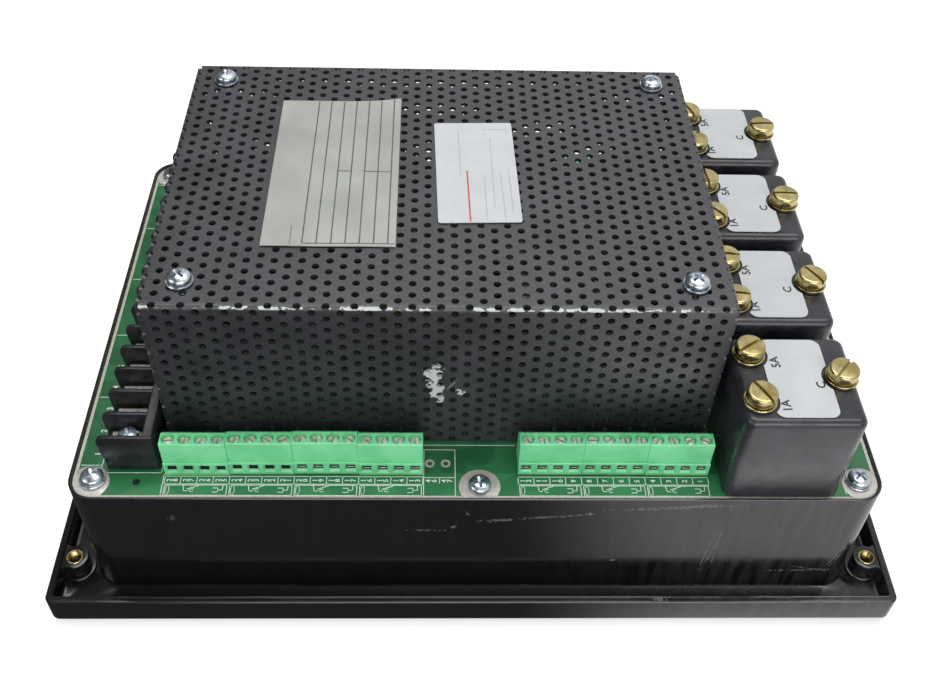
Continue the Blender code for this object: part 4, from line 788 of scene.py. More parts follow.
clamp_turns[:len(FRONT_TURNS)] = FRONT_TURNS
copies("clamp_screws", clamp, [(x, y + WELL_DEPTH * inward, z + CLAMP_TOP) for x, y, z, inward in pole_spots],
       clamp_steel, turns=clamp_turns)
# The cages carry painted shade; the lips in plain clamp steel are set only at the poles where the cage edge catches
# light.
copies("clamp_cages", block((-1.37, -0.1, -1.37), (1.37, 0.1, 1.37), 0.05),
       [(x, y + 0.92 * inward, z + 3.5) for x, y, z, inward in pole_spots], painted_shade_steel)
copies("clamp_lips", block((-1.1, -0.06, -0.16), (1.1, 0.08, 0.16), 0.04),
       [(x, y + 0.78 * inward, z + 3.0) for x, y, z, inward in pole_spots if inward < 0 or x > LIPS_FROM],
       clamp_steel)

# %% [markdown]
# A pan head screw has a low dome and a cross recess. The head is turned, the recess is two tapered bars cut
# out of it, and the washer is a flat ring with rounded edges. Six hold the board, four the cover; the two in
# the middle of the long edges have no washer.
# %% Pan head screws and washers
PAN_RADIUS, PAN_EDGE, DOME = 3.65, 0.95, 1.65
WASHER = 0.8
SEAT_GAP = 0.3
head = turned([(1.7, -4.0), (1.7, 0.02), (3.4, 0.02), (PAN_RADIUS, 0.25), (PAN_RADIUS, PAN_EDGE)]
              + [(PAN_RADIUS * math.cos(angle), PAN_EDGE + DOME * math.sin(angle))
                 for angle in np.radians((12, 25, 38, 52, 66, 80))], sides=40)
for half_x, half_y in ((2.15, 0.46), (0.46, 2.15)):
    head = carve(head, skin([corner_loop((half_x * scale, half_y * scale), 0.1 * scale, z, steps=2)
                             for scale, z in ((0.45, 0.75), (1.0, 2.3), (1.1, 3.2))]))
cover_low, cover_high = extent("perforated_cover")
cover_screw_spots = [middle(node) for node in numbered("cover_screw", 4)]
board_seat = BOARD_TOP + SEAT_GAP
cover_seat = cover_high.z + SEAT_GAP
spots = [(*place, board_seat + (WASHER if number < 4 else 0)) for number, place in enumerate(screw_places)]
spots += [(spot.x, spot.y, cover_seat + WASHER) for spot in cover_screw_spots]
copies("pan_head_screws", head, spots, zinc,
       numbered("rear_board_screw", 6) + numbered("cover_screw", 4), [20, 38, 0, 60, 12, 35, 48, 40, 15, 70])
copies("flat_washers", turned([(1.9, 0.0), (3.95, 0.0), (4.1, 0.12), (4.1, 0.62), (3.95, 0.76), (1.9, 0.76)],
                              sides=40, ring=True),
       [(x, y, z - WASHER) for x, y, z in spots[:4] + spots[6:]], zinc)

# %% [markdown]
# The barrier strip is a comb of phenolic barriers that keep the mains wires apart, on a base with a wall on
# the cover's side. Each barrier is a thin plate with rounded upper corners, so the comb is one barrier copied
# along its pitch, and base and wall are a block and a lip. Its plates are bright metal; only the first pole
# still has its screw.
# %% Barrier strip
phenolic = surface("black_moulded_phenolic", ("#17171a", "#29292e"), (6, 0.12, 4), (4, 0.16, 4, (0.22, 0.42)),
                   (1.2, 0.3, 3, 0.04, 0.6))
BARRIER = 1.5
BARRIER_PITCH = 9.525
BARRIER_ROUND = 2.5
WALL = 3.2
base_top = on_board + 7.7
run = strip_high.y - strip_low.y - BARRIER
poles = round(run / BARRIER_PITCH)
pitch = run / poles
height = strip_high.z - on_board
width = strip_high.x - strip_low.x
side = [(1.2, 0), (1.05, 5.0), (0.35, 8.0)]
side += [(BARRIER_ROUND * (1 - math.cos(angle)), height - BARRIER_ROUND * (1 - math.sin(angle)))
         for angle in np.linspace(0, QUARTER, 7)]
side += [(BARRIER_ROUND + 3, height - 0.02), (BARRIER_ROUND + 8, height - 0.12), (width - 0.03, height - 0.15),
         (width - 0.03, 0)]
barrier = skin([[(x, y, z) for x, z in side] for y in (0.0, BARRIER)])
bmesh.ops.recalc_face_normals(barrier, faces=barrier.faces)
bmesh.ops.bevel(barrier, geom=[edge for edge in barrier.edges if abs(edge.verts[0].co.y - edge.verts[1].co.y) < 0.1],
                offset=0.3, segments=2, profile=0.5, affect="EDGES")
copies("barriers", barrier, [(strip_low.x, strip_low.y + index * pitch, on_board) for index in range(poles + 1)],
       phenolic, ["barrier_strip"])
settle("barrier_base", block((strip_low.x + 1.2, strip_low.y + 0.1, on_board),
                             (strip_high.x - 2, strip_high.y - 0.1, base_top)), phenolic)
settle("barrier_wall", block((strip_high.x - WALL, strip_low.y + 0.7, on_board),
                             (strip_high.x, strip_high.y - 0.7, strip_high.z), 0.4), phenolic)
contact = carve(block((-5.5, -3.6, 0.0), (4.1, 3.0, 0.8), 0.3), turned([(1.7, -1), (1.7, 2)], sides=20))
contact_x = strip_high.x - WALL - 5.9
contact_ys = [strip_low.y + BARRIER + (pitch - BARRIER) / 2 + index * pitch for index in range(poles)]
copies("barrier_contacts", contact, [(contact_x, y, base_top) for y in contact_ys], clamp_steel)
copies("barrier_tabs", block((-0.35, -3.4, 0), (0.35, 3.4, 6.4), 0.2),
       [(strip_high.x - 3.75, y, base_top + 0.5) for y in contact_ys[3:5]], zinc)
flat_head = carve(
    turned([(3.1, 0.0), (3.35, 0.3), (3.35, 1.5), (3.0, 2.2), (2.1, 2.65), (0.9, 2.8)], sides=36),
    *[block((-x, -y, 1.5), (x, y, 4)) for x, y in ((3.9, 0.42), (0.42, 2.1))])
screw_spot = middle("barrier_screw")
copies("barrier_terminal_screw", flat_head, [(screw_spot.x, screw_spot.y, extent("barrier_screw")[0].z)], zinc,
       ["barrier_screw"], [20])

# %% [markdown]
# The current transformers are potted: coils set in dark grey epoxy, poured in a mould with soft corners. The
# surface is smooth, a little uneven, and has fine slanting scratches. A loft with rounded corners and a
# rounded top edge gives the block, and the copy tree sets out all four.
# %% Potted current transformers
SCRATCH_SLANT = math.radians(32)
POTTED_CORNER, POTTED_EDGE = 3.4, 2.6
potting, tree, shader, place = bare(
    "dark_grey_epoxy", Specular_IOR_Level=0.4, Coat_Weight=0.2, Coat_Roughness=0.12)
turned_place = add(tree, "ShaderNodeMapping", {0: place, "Rotation": (0.0, SCRATCH_SLANT, 0.0)}).outputs[0]
fine = mottle(tree, turned_place, 5, 0.015, 2, stretch=(1, 14, 22))
scratched = maths(tree, "MULTIPLY", maths(tree, "SUBTRACT", 1.0, fine), mottle(tree, place, 12, 0.06, 3, (0, 0.5)))
tone = maths(tree, "ADD", mottle(tree, place, 11, 0.15, 4, (0, 0.6)), scratched)
roughness = maths(tree, "ADD", mottle(tree, place, 7, 0.15, 4, (0.22, 0.36)), maths(tree, "MULTIPLY", scratched, 0.3))
finish(tree, shader, blended(tree, tone, "#1d1d22", "#38383f"), roughness, mottle(tree, place, 8, 0.3, 2), 0.10, 0.5)
ct_low, ct_high = extent("current_transformer_1")
ct_size = ct_high - ct_low
ct_centres = [middle(node) for node in numbered("current_transformer", 4)]
potted = skin(tier(ct_size / 2, POTTED_CORNER, [(0.3, 0.0), (0.0, 0.5)] + arc(POTTED_EDGE, ct_size.z, 8), steps=10))
copies("current_transformers", potted, [(spot.x, spot.y, on_board) for spot in ct_centres], potting,
       numbered("current_transformer", 4))

# %% [markdown]
# Each transformer carries three brass cheese head screws on brass washers. The head is a plain cylinder with
# eased edges and a wide straight slot, and a small step below it lets a dark line show above the washer. The
# slot angles are those that the photograph shows, where it shows them.
# %% Brass terminal screws
CHEESE_RADIUS, CHEESE_TOP = 4.65, 3.7
BRASS_WASHER = 1.0
SLOT_TURNS = (70, 110, 2, -50, 95, -2, -5, -5, -58, -61, 34, 48)
cheese = turned([(2.0, -1.0), (3.7, -1.0), (3.7, 0.0), (3.9, 0.35), (4.5, 0.45), (CHEESE_RADIUS, 0.7)]
                + [(CHEESE_RADIUS - inset, z) for inset, z in arc(0.9, CHEESE_TOP, 5)] + [(2.2, 3.82), (0.6, 3.85)],
                sides=44)
screw_nodes = [f"ct_screw_{number}_{index}" for number in range(1, 5) for index in (1, 2, 3)]
ct_seat = extent("ct_label_1")[0].z
spots = [(*middle(node).xy, ct_seat + BRASS_WASHER) for node in screw_nodes]
copies("brass_screws", carve(cheese, block((-6, -0.5, 2.3), (6, 0.5, 5))), spots, brass, screw_nodes,
       SLOT_TURNS)
copies("brass_washers", turned([(2.2, 0.0), (4.95, 0.0), (5.1, 0.15), (5.1, 0.8), (4.9, 0.98), (2.2, 0.98)],
                               sides=44, ring=True),
       [(x, y, z - BRASS_WASHER) for x, y, z in spots], brass)

# %% [markdown]
# The transformer labels are white polyester film with round notches that clear the washers. The film is a
# fraction of a millimetre thick and slightly glossy. The terminal marks on it, 1A, 5A and C for common, are
# generic, so they are drawn; the rest of the film is left bare.
# %% Transformer labels
film = surface("white_polyester_film", ("#bfc2c5", "#c8cbcd"), (9, 0.25, 2), (4, 0.15, 3, (0.28, 0.42)))
black_print = surface("black_screen_print", ("#1d1d21", "#3a3a40"), (1, 0.2), 0.45)
FILM_THICKNESS = 0.25
NOTCH = 6.0
MARK_ASIDE = (-1.3, -0.6, -1.2, 0.0)
label_low, label_high = extent("ct_label_1")
film_centre = middle("ct_label_1").xy
label_mesh = skin([corner_loop((label_high - label_low) / 2, 3.0, z, film_centre, 8)
                   for z in (ct_seat, ct_seat + FILM_THICKNESS)])
notches = bmesh.new()
for x, y, _ in spots[:3]:
    turned([(NOTCH, ct_seat - 1), (NOTCH, ct_seat + 1)], (x, y), 40, into=notches)
label_mesh = carve(label_mesh, notches)
bmesh.ops.translate(label_mesh, verts=label_mesh.verts, vec=(-film_centre.x, -ct_centres[0].y, 0))
copies("transformer_labels", label_mesh, [(film_centre.x, spot.y, 0) for spot in ct_centres], film,
       numbered("ct_label", 4))
marks = bmesh.new()
for spot, aside in zip(ct_centres, MARK_ASIDE):
    for words, x, y in (("5A", -5.8, 6.1), ("1A", -5.9, -11.3), ("C", 6.4, -3.0)):
        lettering(marks, words, 2.7, (film_centre.x + x + aside, spot.y + y, ct_seat + FILM_THICKNESS + 0.01), 94)
settle("transformer_marks", marks, black_print)

# %% [markdown]
# The cover is a box folded from perforated steel and powder coated. The real sheet is punched before it is
# folded, so the rows of holes run on over the folds. The lesson makes it in the same order: a tree lays
# hexagonal cells, each with its hole, on a staggered grid, which gives one flat sheet; the blank is cut from
# it, folded over a small radius, and given its thickness. Only a Boolean for every hole would look the same,
# and it would be far slower.
# %% One cell of the perforated sheet
PITCH = 4.7625
HOLE = 2.38
STEP = PITCH * math.cos(math.radians(30))


def cell_ring(mesh, radius, count):
    """Vertices round the middle of a cell."""
    angles = np.arange(count) * math.tau / count
    return [mesh.verts.new((radius * math.cos(angle), radius * math.sin(angle), 0)) for angle in angles]


cell = bmesh.new()
rim, hole = cell_ring(cell, PITCH / math.sqrt(3), 6), cell_ring(cell, HOLE / 2, 12)
for side in range(6):
    after, between = (side + 1) % 6, 2 * side + 1
    cell.faces.new((rim[side], rim[after], hole[between]))
    cell.faces.new((rim[side], hole[between], hole[between - 1]))
    cell.faces.new((rim[after], hole[(between + 1) % 12], hole[between]))
print("cell faces:", len(cell.faces))

# %% A tree that lays cells on a staggered grid
sheet_tree, given = geometry_tree("staggered_sheet", "Sheet", Start="Geometry", Cell="Object", Columns="Int",
                                  Rows="Int", Column_Step="Float", Pitch="Float", Surface="Material")
step_in, pitch_in = given["Column Step"], given["Pitch"]
length, breadth = (maths(sheet_tree, "MULTIPLY", maths(sheet_tree, "SUBTRACT", given[count], 1.0), size)
                   for count, size in (("Columns", step_in), ("Rows", pitch_in)))
grid = add(sheet_tree, "GeometryNodeMeshGrid", {
    "Size X": length, "Size Y": breadth, "Vertices X": given["Columns"], "Vertices Y": given["Rows"]})
from_edge = maths(sheet_tree, "ADD", split(sheet_tree, add(sheet_tree, "GeometryNodeInputPosition").outputs[0])[0],
                  maths(sheet_tree, "DIVIDE", length, 2.0))
column = maths(sheet_tree, "ROUND", maths(sheet_tree, "DIVIDE", from_edge, step_in))
odd = maths(sheet_tree, "MODULO", column, 2.0)
shift = add(sheet_tree, "ShaderNodeCombineXYZ", {
    "Y": maths(sheet_tree, "MULTIPLY", odd, maths(sheet_tree, "DIVIDE", pitch_in, 2.0))})
moved = add(sheet_tree, "GeometryNodeSetPosition", {"Geometry": grid.outputs[0], "Offset": shift.outputs[0]})
part = add(sheet_tree, "GeometryNodeObjectInfo", {"Object": given["Cell"]})
spread = add(sheet_tree, "GeometryNodeInstanceOnPoints", {
    "Points": moved.outputs[0], "Instance": part.outputs["Geometry"]})
real = add(sheet_tree, "GeometryNodeRealizeInstances", {"Geometry": spread.outputs[0]})
joined = add(sheet_tree, "GeometryNodeMergeByDistance", {"Geometry": real.outputs[0], "Distance": 0.00002})
dressed = add(sheet_tree, "GeometryNodeSetMaterial", {"Geometry": joined.outputs[0], "Material": given["Surface"]})
add(sheet_tree, "NodeGroupOutput", {"Sheet": dressed.outputs[0]})
print("sheet tree has", len(sheet_tree.nodes), "nodes")

# %% [markdown]
# Powder coat is a hard plastic skin with a fine orange peel: dark, satin, slightly lighter where light grazes
# it. Along the front fold it has chipped off down to bright metal, and two patches on the front face are
# scraped. Distance to the fold and to the patches, broken up by noise, says where the metal shows.
# %% Chipped powder coat
FOLD_Y, FOLD_Z = cover_low.y, cover_high.z
PATCHES = (
    ((-14.7, FOLD_Y, 87.6), (2.8, 3, 3.9), 0, 0.5, 1.8), ((-13.9, FOLD_Y, 81.0), (1.9, 3, 4.3), 10, 0.5, 1.8),
    ((-6.6, FOLD_Y, 79.8), (1.4, 3, 0.8), -30, 0.8, 1.0))
FAINT_SCRATCH = ((-8.9, FOLD_Y, 83.7), (3.4, 3, 0.3), 55, 0.2, 1.0)
powder, tree, shader, place = bare("chipped_powder_coat", Specular_IOR_Level=1.0)
_, inward, upward = split(tree, place)
to_fold = add(tree, "ShaderNodeVectorMath", {
    0: add(tree, "ShaderNodeCombineXYZ", {1: inward, 2: upward}).outputs[0],
    1: (0, (FOLD_Y + 0.35) * MM, (FOLD_Z - 0.35) * MM)}, operation="DISTANCE").outputs["Value"]
near_fold = ramp(tree, to_fold, 0.25 * MM, 0.8 * MM, 1.0, 0.0)
flakes = maths(tree, "MULTIPLY", mottle(tree, place, 1.6, 0.10, 5, (0.4, 1.5)),
               mottle(tree, place, 8, 0.04, 2, (0.3, 1)))
chips = maths(tree, "MULTIPLY", near_fold, flakes)
metal = maths(tree, "GREATER_THAN", chips, 0.42)
for spot in PATCHES:
    metal = maths(tree, "MAXIMUM", metal, patch(tree, place, *spot))
metal = maths(tree, "MAXIMUM", metal, maths(tree, "MULTIPLY", patch(tree, place, *FAINT_SCRATCH), 0.25))
tone = maths(tree, "ADD", mottle(tree, place, 20, 0.15, 3, (0, 0.5)), mottle(tree, place, 0.5, 0.12, 2, (0, 0.5)))
peel = maths(tree, "SUBTRACT", mottle(tree, place, 0.9, 0.3, 3), maths(tree, "MULTIPLY", metal, 2.0))
finish(tree, shader, blended(tree, metal, blended(tree, tone, "#18181c", "#302f36"), "#b9c0bb"),
       mottle(tree, place, 12, 0.15, 4, (0.36, 0.52)), peel, 0.08, 0.8)
print("powder coat ready")

# %% Blank of the cover
SHEET = 1.2
BEND = 1.4
FOLD_STEPS = 3
# A hole of the real sheet is known here; the grid is moved to meet it
KNOWN_HOLE = Vector((-95.3, -59.5))
start = link("perforated_cover_shell", bpy.data.meshes.new("perforated_cover_shell"))
cell_object = working_object("perforation_cell", cell)
cover_centre = (cover_low + cover_high).xy / 2
half = (cover_high - cover_low).xy / 2
flat_half = half - Vector((BEND, BEND))
flap = QUARTER * BEND + (cover_high.z - BEND - cover_low.z)
reach = flat_half + Vector((flap, flap))
column_count = 2 * math.ceil(reach.x / STEP) + 5
row_count = 2 * math.ceil(reach.y / PITCH) + 5
grown(start, sheet_tree, Cell=cell_object, Columns=column_count, Rows=row_count, Column_Step=STEP * MM,
      Pitch=PITCH * MM, Surface=powder)
bpy.data.objects.remove(cell_object, do_unlink=True)
blank = bmesh.new()
blank.from_mesh(start.data)
bmesh.ops.scale(blank, vec=(1 / MM, 1 / MM, 1 / MM), verts=blank.verts)
first = Vector((-(column_count - 1) / 2 * STEP, -(row_count - 1) / 2 * PITCH))
wanted = KNOWN_HOLE - cover_centre
lag = (wanted.x - first.x) / STEP
row_shift = wanted.y - first.y - (PITCH / 2 if round(lag) % 2 else 0)
bmesh.ops.translate(blank, verts=blank.verts, vec=(
    (lag - round(lag)) * STEP, row_shift - round(row_shift / PITCH) * PITCH, 0))


def slice_at(axis, value, clear=False):
    """Cut the blank along a line; clear drops what lies beyond it."""
    normal, point = Vector((0, 0, 0)), Vector((0, 0, 0))
    normal[axis], point[axis] = math.copysign(1, value), value
    bmesh.ops.bisect_plane(blank, geom=blank.verts[:] + blank.edges[:] + blank.faces[:], dist=1e-5,
                           plane_co=point, plane_no=normal, clear_outer=clear)


for axis in (0, 1):
    for sign in (-1, 1):
        slice_at(axis, sign * reach[axis], True)
        for share in range(FOLD_STEPS + 1):
            slice_at(axis, sign * (flat_half[axis] + share / FOLD_STEPS * QUARTER * BEND))
waste = [face for face in blank.faces
         if abs(face.calc_center_median().x) > flat_half.x and abs(face.calc_center_median().y) > flat_half.y]
bmesh.ops.delete(blank, geom=waste, context="FACES")
print("blank:", len(blank.faces), "faces")

# %% Fold the blank, and give the sheet its thickness
for vertex in blank.verts:
    folded = Vector((vertex.co.x, vertex.co.y, cover_high.z))
    for axis in (0, 1):
        past = abs(vertex.co[axis]) - flat_half[axis]
        if past > 1e-4:
            angle = min(past / BEND, QUARTER)
            folded[axis] = math.copysign(flat_half[axis] + BEND * math.sin(angle), vertex.co[axis])
            folded.z -= BEND * (1 - math.cos(angle)) + max(past - BEND * QUARTER, 0)
    vertex.co = folded + Vector((*cover_centre, 0))
bmesh.ops.scale(blank, vec=(MM, MM, MM), verts=blank.verts)
bmesh.ops.recalc_face_normals(blank, faces=blank.faces)
if sum(face.normal.z * face.calc_area() for face in blank.faces) < 0:
    bmesh.ops.reverse_faces(blank, faces=blank.faces)
blank.to_mesh(start.data)
blank.free()
step = start.modifiers.new("sheet_thickness", "SOLIDIFY")
step.thickness, step.offset = SHEET * MM, -1
start.data = evaluated(start)
start.modifiers.remove(step)
settle(start.name, start, powder, ["perforated_cover"], sharp=30)
print("cover triangles:", sum(len(face.vertices) - 2 for face in start.data.polygons))

# %% [markdown]
# The nameplate is a thin satin aluminium foil stuck on the cover; one corner has let go and curls up. A grid
# of points bent by one height function makes the sheet, and the printed rules follow the same function, so
# they lie on it where it curls. The rules divide it into rows; the rows themselves are left bare.
# %% Satin foil, and the nameplate
foil = surface("satin_aluminium_foil", ("#a1a39e", "#b1b3ae"), (16, 0.2, 2),
               (3, 0.15, 3, (0.36, 0.50), (1, 6, 1)), (14, 0.3, 1, 0.10, 0.6), Metallic=0.3)
rule_ink = surface("grey_printed_rules", ("#414346", "#67696c"), (1, 0.2))
plate_low, plate_high = extent("nameplate")
FOIL = 0.25
CURL_REACH, CURL_RISE = 17.0, 1.5
RULE, RULE_THICKNESS = 0.42, 0.03
RULE_LEFT, CROSS_RULE = -54.8, 1.8


def foil_height(x, y):
    """Underside of the foil at a point: flat, then curling up towards the far right corner."""
    past = max(0.0, CURL_REACH - (plate_high.x - x) - 0.7 * (plate_high.y - y)) / CURL_REACH
    wave = 0.12 * math.sin((x + y) / 9.0) ** 2 * min(1.0, (plate_high.y - y) / 10)
    return plate_low.z + wave + CURL_RISE * past ** 2


def draped(mesh, low, high, lift, thickness, steps):
    """A sheet that follows the foil between two corners."""
    xs, ys = (np.linspace(low[axis], high[axis], steps[axis] + 1) for axis in (0, 1))
    under, over = ([[mesh.verts.new((x, y, foil_height(x, y) + rise)) for x in xs] for y in ys]
                   for rise in (lift, lift + thickness))
    for row in range(len(ys) - 1):
        for index in range(len(xs) - 1):
            for layer, order in ((under, (0, 2, 3, 1)), (over, (0, 1, 3, 2))):
                square = layer[row][index:index + 2] + layer[row + 1][index:index + 2]
                mesh.faces.new([square[one] for one in order])
    rim = [(0, index) for index in range(len(xs))]
    rim += [(index, len(xs) - 1) for index in range(1, len(ys))]
    rim += [(len(ys) - 1, index) for index in reversed(range(len(xs) - 1))]
    rim += [(index, 0) for index in reversed(range(1, len(ys) - 1))]
    for (row, column), (next_row, next_column) in zip(rim, rim[1:] + rim[:1]):
        mesh.faces.new((under[row][column], under[next_row][next_column],
                        over[next_row][next_column], over[row][column]))


sheet, rules = bmesh.new(), bmesh.new()
draped(sheet, plate_low, plate_high, 0.0, FOIL, (40, 70))
settle("nameplate_foil", sheet, foil, ["nameplate"])
bottom = plate_low.y + 1.2
for x in (RULE_LEFT, -50.5, -46.1, -41.8, -37.5, -33.2, -28.9):
    draped(rules, (x - RULE / 2, bottom), (x + RULE / 2, plate_high.y - 0.4), FOIL, RULE_THICKNESS, (1, 40))
for left, right, y, pieces in ((RULE_LEFT, plate_high.x - 0.3, bottom, 16), (-46.1, -41.8, CROSS_RULE, 4),
                               (-37.5, -28.9, CROSS_RULE, 4)):
    draped(rules, (left, y - RULE / 2), (right, y + RULE / 2), FOIL, RULE_THICKNESS, (pieces, 1))
draped(rules, (-58.6, -33.8), (-58.4, -25.2), FOIL, RULE_THICKNESS, (1, 6))
settle("nameplate_rules", rules, rule_ink)

# %% [markdown]
# The second plate on the cover is a white film label with one red rule and a few thin grey ones. It sits a
# degree and a half askew, as stuck on by hand. Its corners are slightly rounded.
# %% Small white label
ASKEW = math.radians(1.6)
red_ink = surface("red_printed_rule", ("#a53e32", "#c9584a"), (1, 0.2))
pale_ink = surface("pale_grey_print", ("#9c9e9e", "#b9bbbb"), (1, 0.2))
label_low, label_high = extent("support_label")
wide, long, _ = label_high - label_low
half_sizes = [(one * math.cos(ASKEW) - other * math.sin(ASKEW)) / math.cos(2 * ASKEW) / 2
              for one, other in ((wide, long), (long, wide))]
paper_mesh = skin([corner_loop(half_sizes, 0.8, z, steps=3) for z in (label_low.z, label_low.z + FILM_THICKNESS)])
bmesh.ops.transform(paper_mesh, verts=paper_mesh.verts, matrix=Matrix.Translation(
    (*middle("support_label").xy, 0)) @ Matrix.Rotation(ASKEW, 4, "Z"))
settle("small_label", paper_mesh, film, ["support_label"])
for name, look, width, strokes in (
        ("label_red_rule", red_ink, 0.5, [((-4.3, 2.5), (-3.6, -22.1))]),
        ("label_grey_rules", pale_ink, 0.3, [
            ((1.3, 1.0), (1.6, -21.7)), ((3.6, 20.0), (4.2, -15.6)), ((6.5, 1.3), (7.4, -21.2)),
            ((9.2, 4.1), (9.9, -18.0)), ((-7.0, 24.3), (-6.4, 0.6)), ((1.3, 25.5), (9.4, 25.3))])):
    lines = bmesh.new()
    for start, end in strokes:
        stroke(lines, start, end, label_low.z + 0.28, width, 0.05)
    settle(name, lines, look)

# %% [markdown]
# Under the cover stand the parts that its holes only hint at: output relays, a mains transformer, three
# capacitors, a finned heat sink and the four posts that carry the cover. They are plain and generic, but
# each is made as the real part is, because light falls on them through the holes.
# %% Relays, capacitors, heat sink and posts
relay_case = surface("dark_blue_relay_case", ("#1a2433", "#283547"), (8, 0.15), 0.35)
sleeve = surface("black_shrunk_sleeve", ("#17171b", "#26262b"), (5, 0.15), (2, 0.15, 3, (0.22, 0.4), (1, 1, 0.2)))
aluminium = surface("extruded_aluminium", ("#8f9295", "#aeb1b4"), (4, 0.15),
                    (1.5, 0.15, 3, (0.3, 0.48), (6, 0.4, 1)), Metallic=0.9)
EDGE_ROOM = 13.8
RELAY_HALF, RELAY_HEIGHT = 7.5, 15.7
CAN_RADIUS, CAN_TOP, CAN_STEP = 8.0, 29.5, 20
SINK, FIN_STEP, FINS = 21.5, 5.0, 5
POST_RADIUS = 4
inner_low, inner_high = cover_low.x + EDGE_ROOM, cover_high.x - EDGE_ROOM
core_low, core_high = extent("transformer_core")
cover_middle = (cover_low + cover_high) / 2
posts_y = abs(cover_screw_spots[0].y - cover_middle.y)
relay_room = 2 * (posts_y - POST_RADIUS)
relay_step = (relay_room - 3) / 4
relay_half = (RELAY_HALF, (relay_step - 3) / 2)
copies("output_relays", block((-relay_half[0], -relay_half[1], 0), (*relay_half, RELAY_HEIGHT), 0.6),
       [(inner_low + RELAY_HALF, cover_middle.y + (index - 1.5) * (relay_step + 0.75), BOARD_TOP)
        for index in range(4)], relay_case)
can = turned([(7.6, 0), (CAN_RADIUS, 0.4), (CAN_RADIUS, 2.2), (7.5, 2.9), (CAN_RADIUS, 3.6), (CAN_RADIUS, 29.2),
              (7.5, 29.8), (6.9, 29.9), (6.8, 29.6), (0.4, CAN_TOP)])
gap = (inner_high - inner_low - 2 * RELAY_HALF - (core_high.x - core_low.x) - 2 * CAN_RADIUS - SINK) / 3
can_spots = [(core_high.x + gap + CAN_RADIUS, cover_middle.y + CAN_STEP * (1 - index), BOARD_TOP)
             for index in range(3)]
copies("filter_capacitors", can, can_spots, sleeve)
copies("capacitor_tops", turned([(6.7, 0), (6.7, 0.25), (6.4, 0.35), (0.4, 0.35)]),
       [(x, y, z + CAN_TOP) for x, y, z in can_spots], aluminium)
sink_start = cover_middle.y - posts_y + POST_RADIUS + 12.6
section = [(SINK, 0), (0, 0)]
for fin in np.arange(FINS) * FIN_STEP:
    section += [(fin, 29.6), (fin + 0.3, 30.0), (fin + 1.2, 30.0), (fin + 1.5, 29.6),
                (fin + 1.5, 3.6), (fin + 2.1, 3.0), (fin + 4.4, 3.0), (fin + 5.0, 3.6)]
settle("heat_sink", skin([[(inner_high - SINK + x, y, BOARD_TOP + z) for x, z in section[:-4]]
                          for y in (sink_start, sink_start + 0.525 * relay_room)]), aluminium)
post = turned([(1.8, 0.0), (3.7, 0.0), (4.0, 0.4), (4.0, 59.2), (3.7, 59.6), (2.0, 59.6), (1.8, 59.3), (1.8, 20.0)],
              sides=6, ring=True)
copies("cover_posts", post, [(spot.x, spot.y, BOARD_TOP) for spot in cover_screw_spots], zinc,
       turns=[15, 30, 0, 45])

# %% [markdown]
# A transformer core is a stack of thin steel sheets, so its ends show fine lines across Y. The material draws
# the sheets as bands, half a millimetre each, in its relief and its tone. The coil round the middle limb is
# wrapped in amber tape, which shows as broad overlapping turns.
# %% Mains transformer
def banded(name, colours, roughness, wave_mm, distortion, depth, metallic=0.0, **settings):
    """A material of two colours in bands that also stand out as relief."""
    made, tree, shader, place = bare(name, Metallic=metallic)
    bands = add(tree, "ShaderNodeTexWave", {"Vector": place, "Scale": 1 / (wave_mm * MM), "Distortion": distortion},
                **settings).outputs["Fac"]
    finish(tree, shader, blended(tree, bands, *colours), roughness, bands, depth, 0.6)
    return made


lamination = banded("stacked_core_steel", ("#4f4c4a", "#8b8885"), 0.45, 3.2, 0.4, 0.05, 0.8, bands_direction="Y")
tape = banded("amber_insulating_tape", ("#59411a", "#7d5e2c"), 0.3, 24, 0.6, 0.10, bands_direction="Z",
              wave_profile="SAW")
YOKE = 8
coil_low, coil_high = extent("transformer_winding")
limb = (core_high.x - core_low.x - 2 * YOKE) / 4
centre = (core_low.x + core_high.x) / 2
windows = [block((inner, core_low.y - 5, core_low.z + YOKE), (outer, core_high.y + 5, core_high.z - YOKE))
           for inner, outer in ((centre - 2 * limb, centre - limb), (centre + limb, centre + 2 * limb))]
settle("transformer_core_stack", carve(block(core_low, core_high, 0.5), *windows), lamination,
       ["transformer_core"])
coil_middle = (coil_low + coil_high) / 2
coil_levels = ((0.8, coil_low.z), (0.0, coil_low.z + 0.8), (0.0, coil_high.z - 0.8), (0.8, coil_high.z))
bore_half = (limb + 0.3, (core_high.y - core_low.y) / 2 + 0.3)
loops = tier(bore_half, 0.6, ((0, coil_high.z), (0, coil_low.z)), coil_middle, 3)
loops += tier((coil_high - coil_low) / 2, 2.5, coil_levels, coil_middle, 3, fixed=True)
settle("transformer_coil", skin(loops, ring=True), tape, ["transformer_winding"])

# %% [markdown]
# The front is out of sight in the photograph, so it is plain: a matt grey plate in the recess, a clear window
# over a character display, a row of status lights and six keys. The plate's openings have eased edges. The
# window is acrylic, which lets light through with hardly any colour.
# %% Front plate and window
face = surface("matt_grey_face_laminate", ("#5a5d60", "#606366"), (14, 0.3, 2), (0.8, 0.2, 3, (0.42, 0.6)),
               (0.5, 0.3, 2, 0.02, 0.6))
acrylic = surface("clear_acrylic", "#eef3ee", rough=(9, 0.15, 3, (0.02, 0.06)), Transmission_Weight=1.0, IOR=1.49)
EASING = 0.25
VIEW_MARGIN = 4
KEY_OVERLAP = 0.9
LIGHT_HOLE = 2.8
face_low, face_high = extent("faceplate")
module_low, module_high = extent("display_module")
pane_half = ((window_high - window_low) / 2).xy
view_half = pane_half - Vector((VIEW_MARGIN, VIEW_MARGIN))
view_centre = middle("display_window").xy
panel = skin(tier(face_high, 3.8, ((0.2, face_low.z), (0.0, face_low.z + 0.2), (0.0, face_high.z)),
                  steps=8, fixed=True))
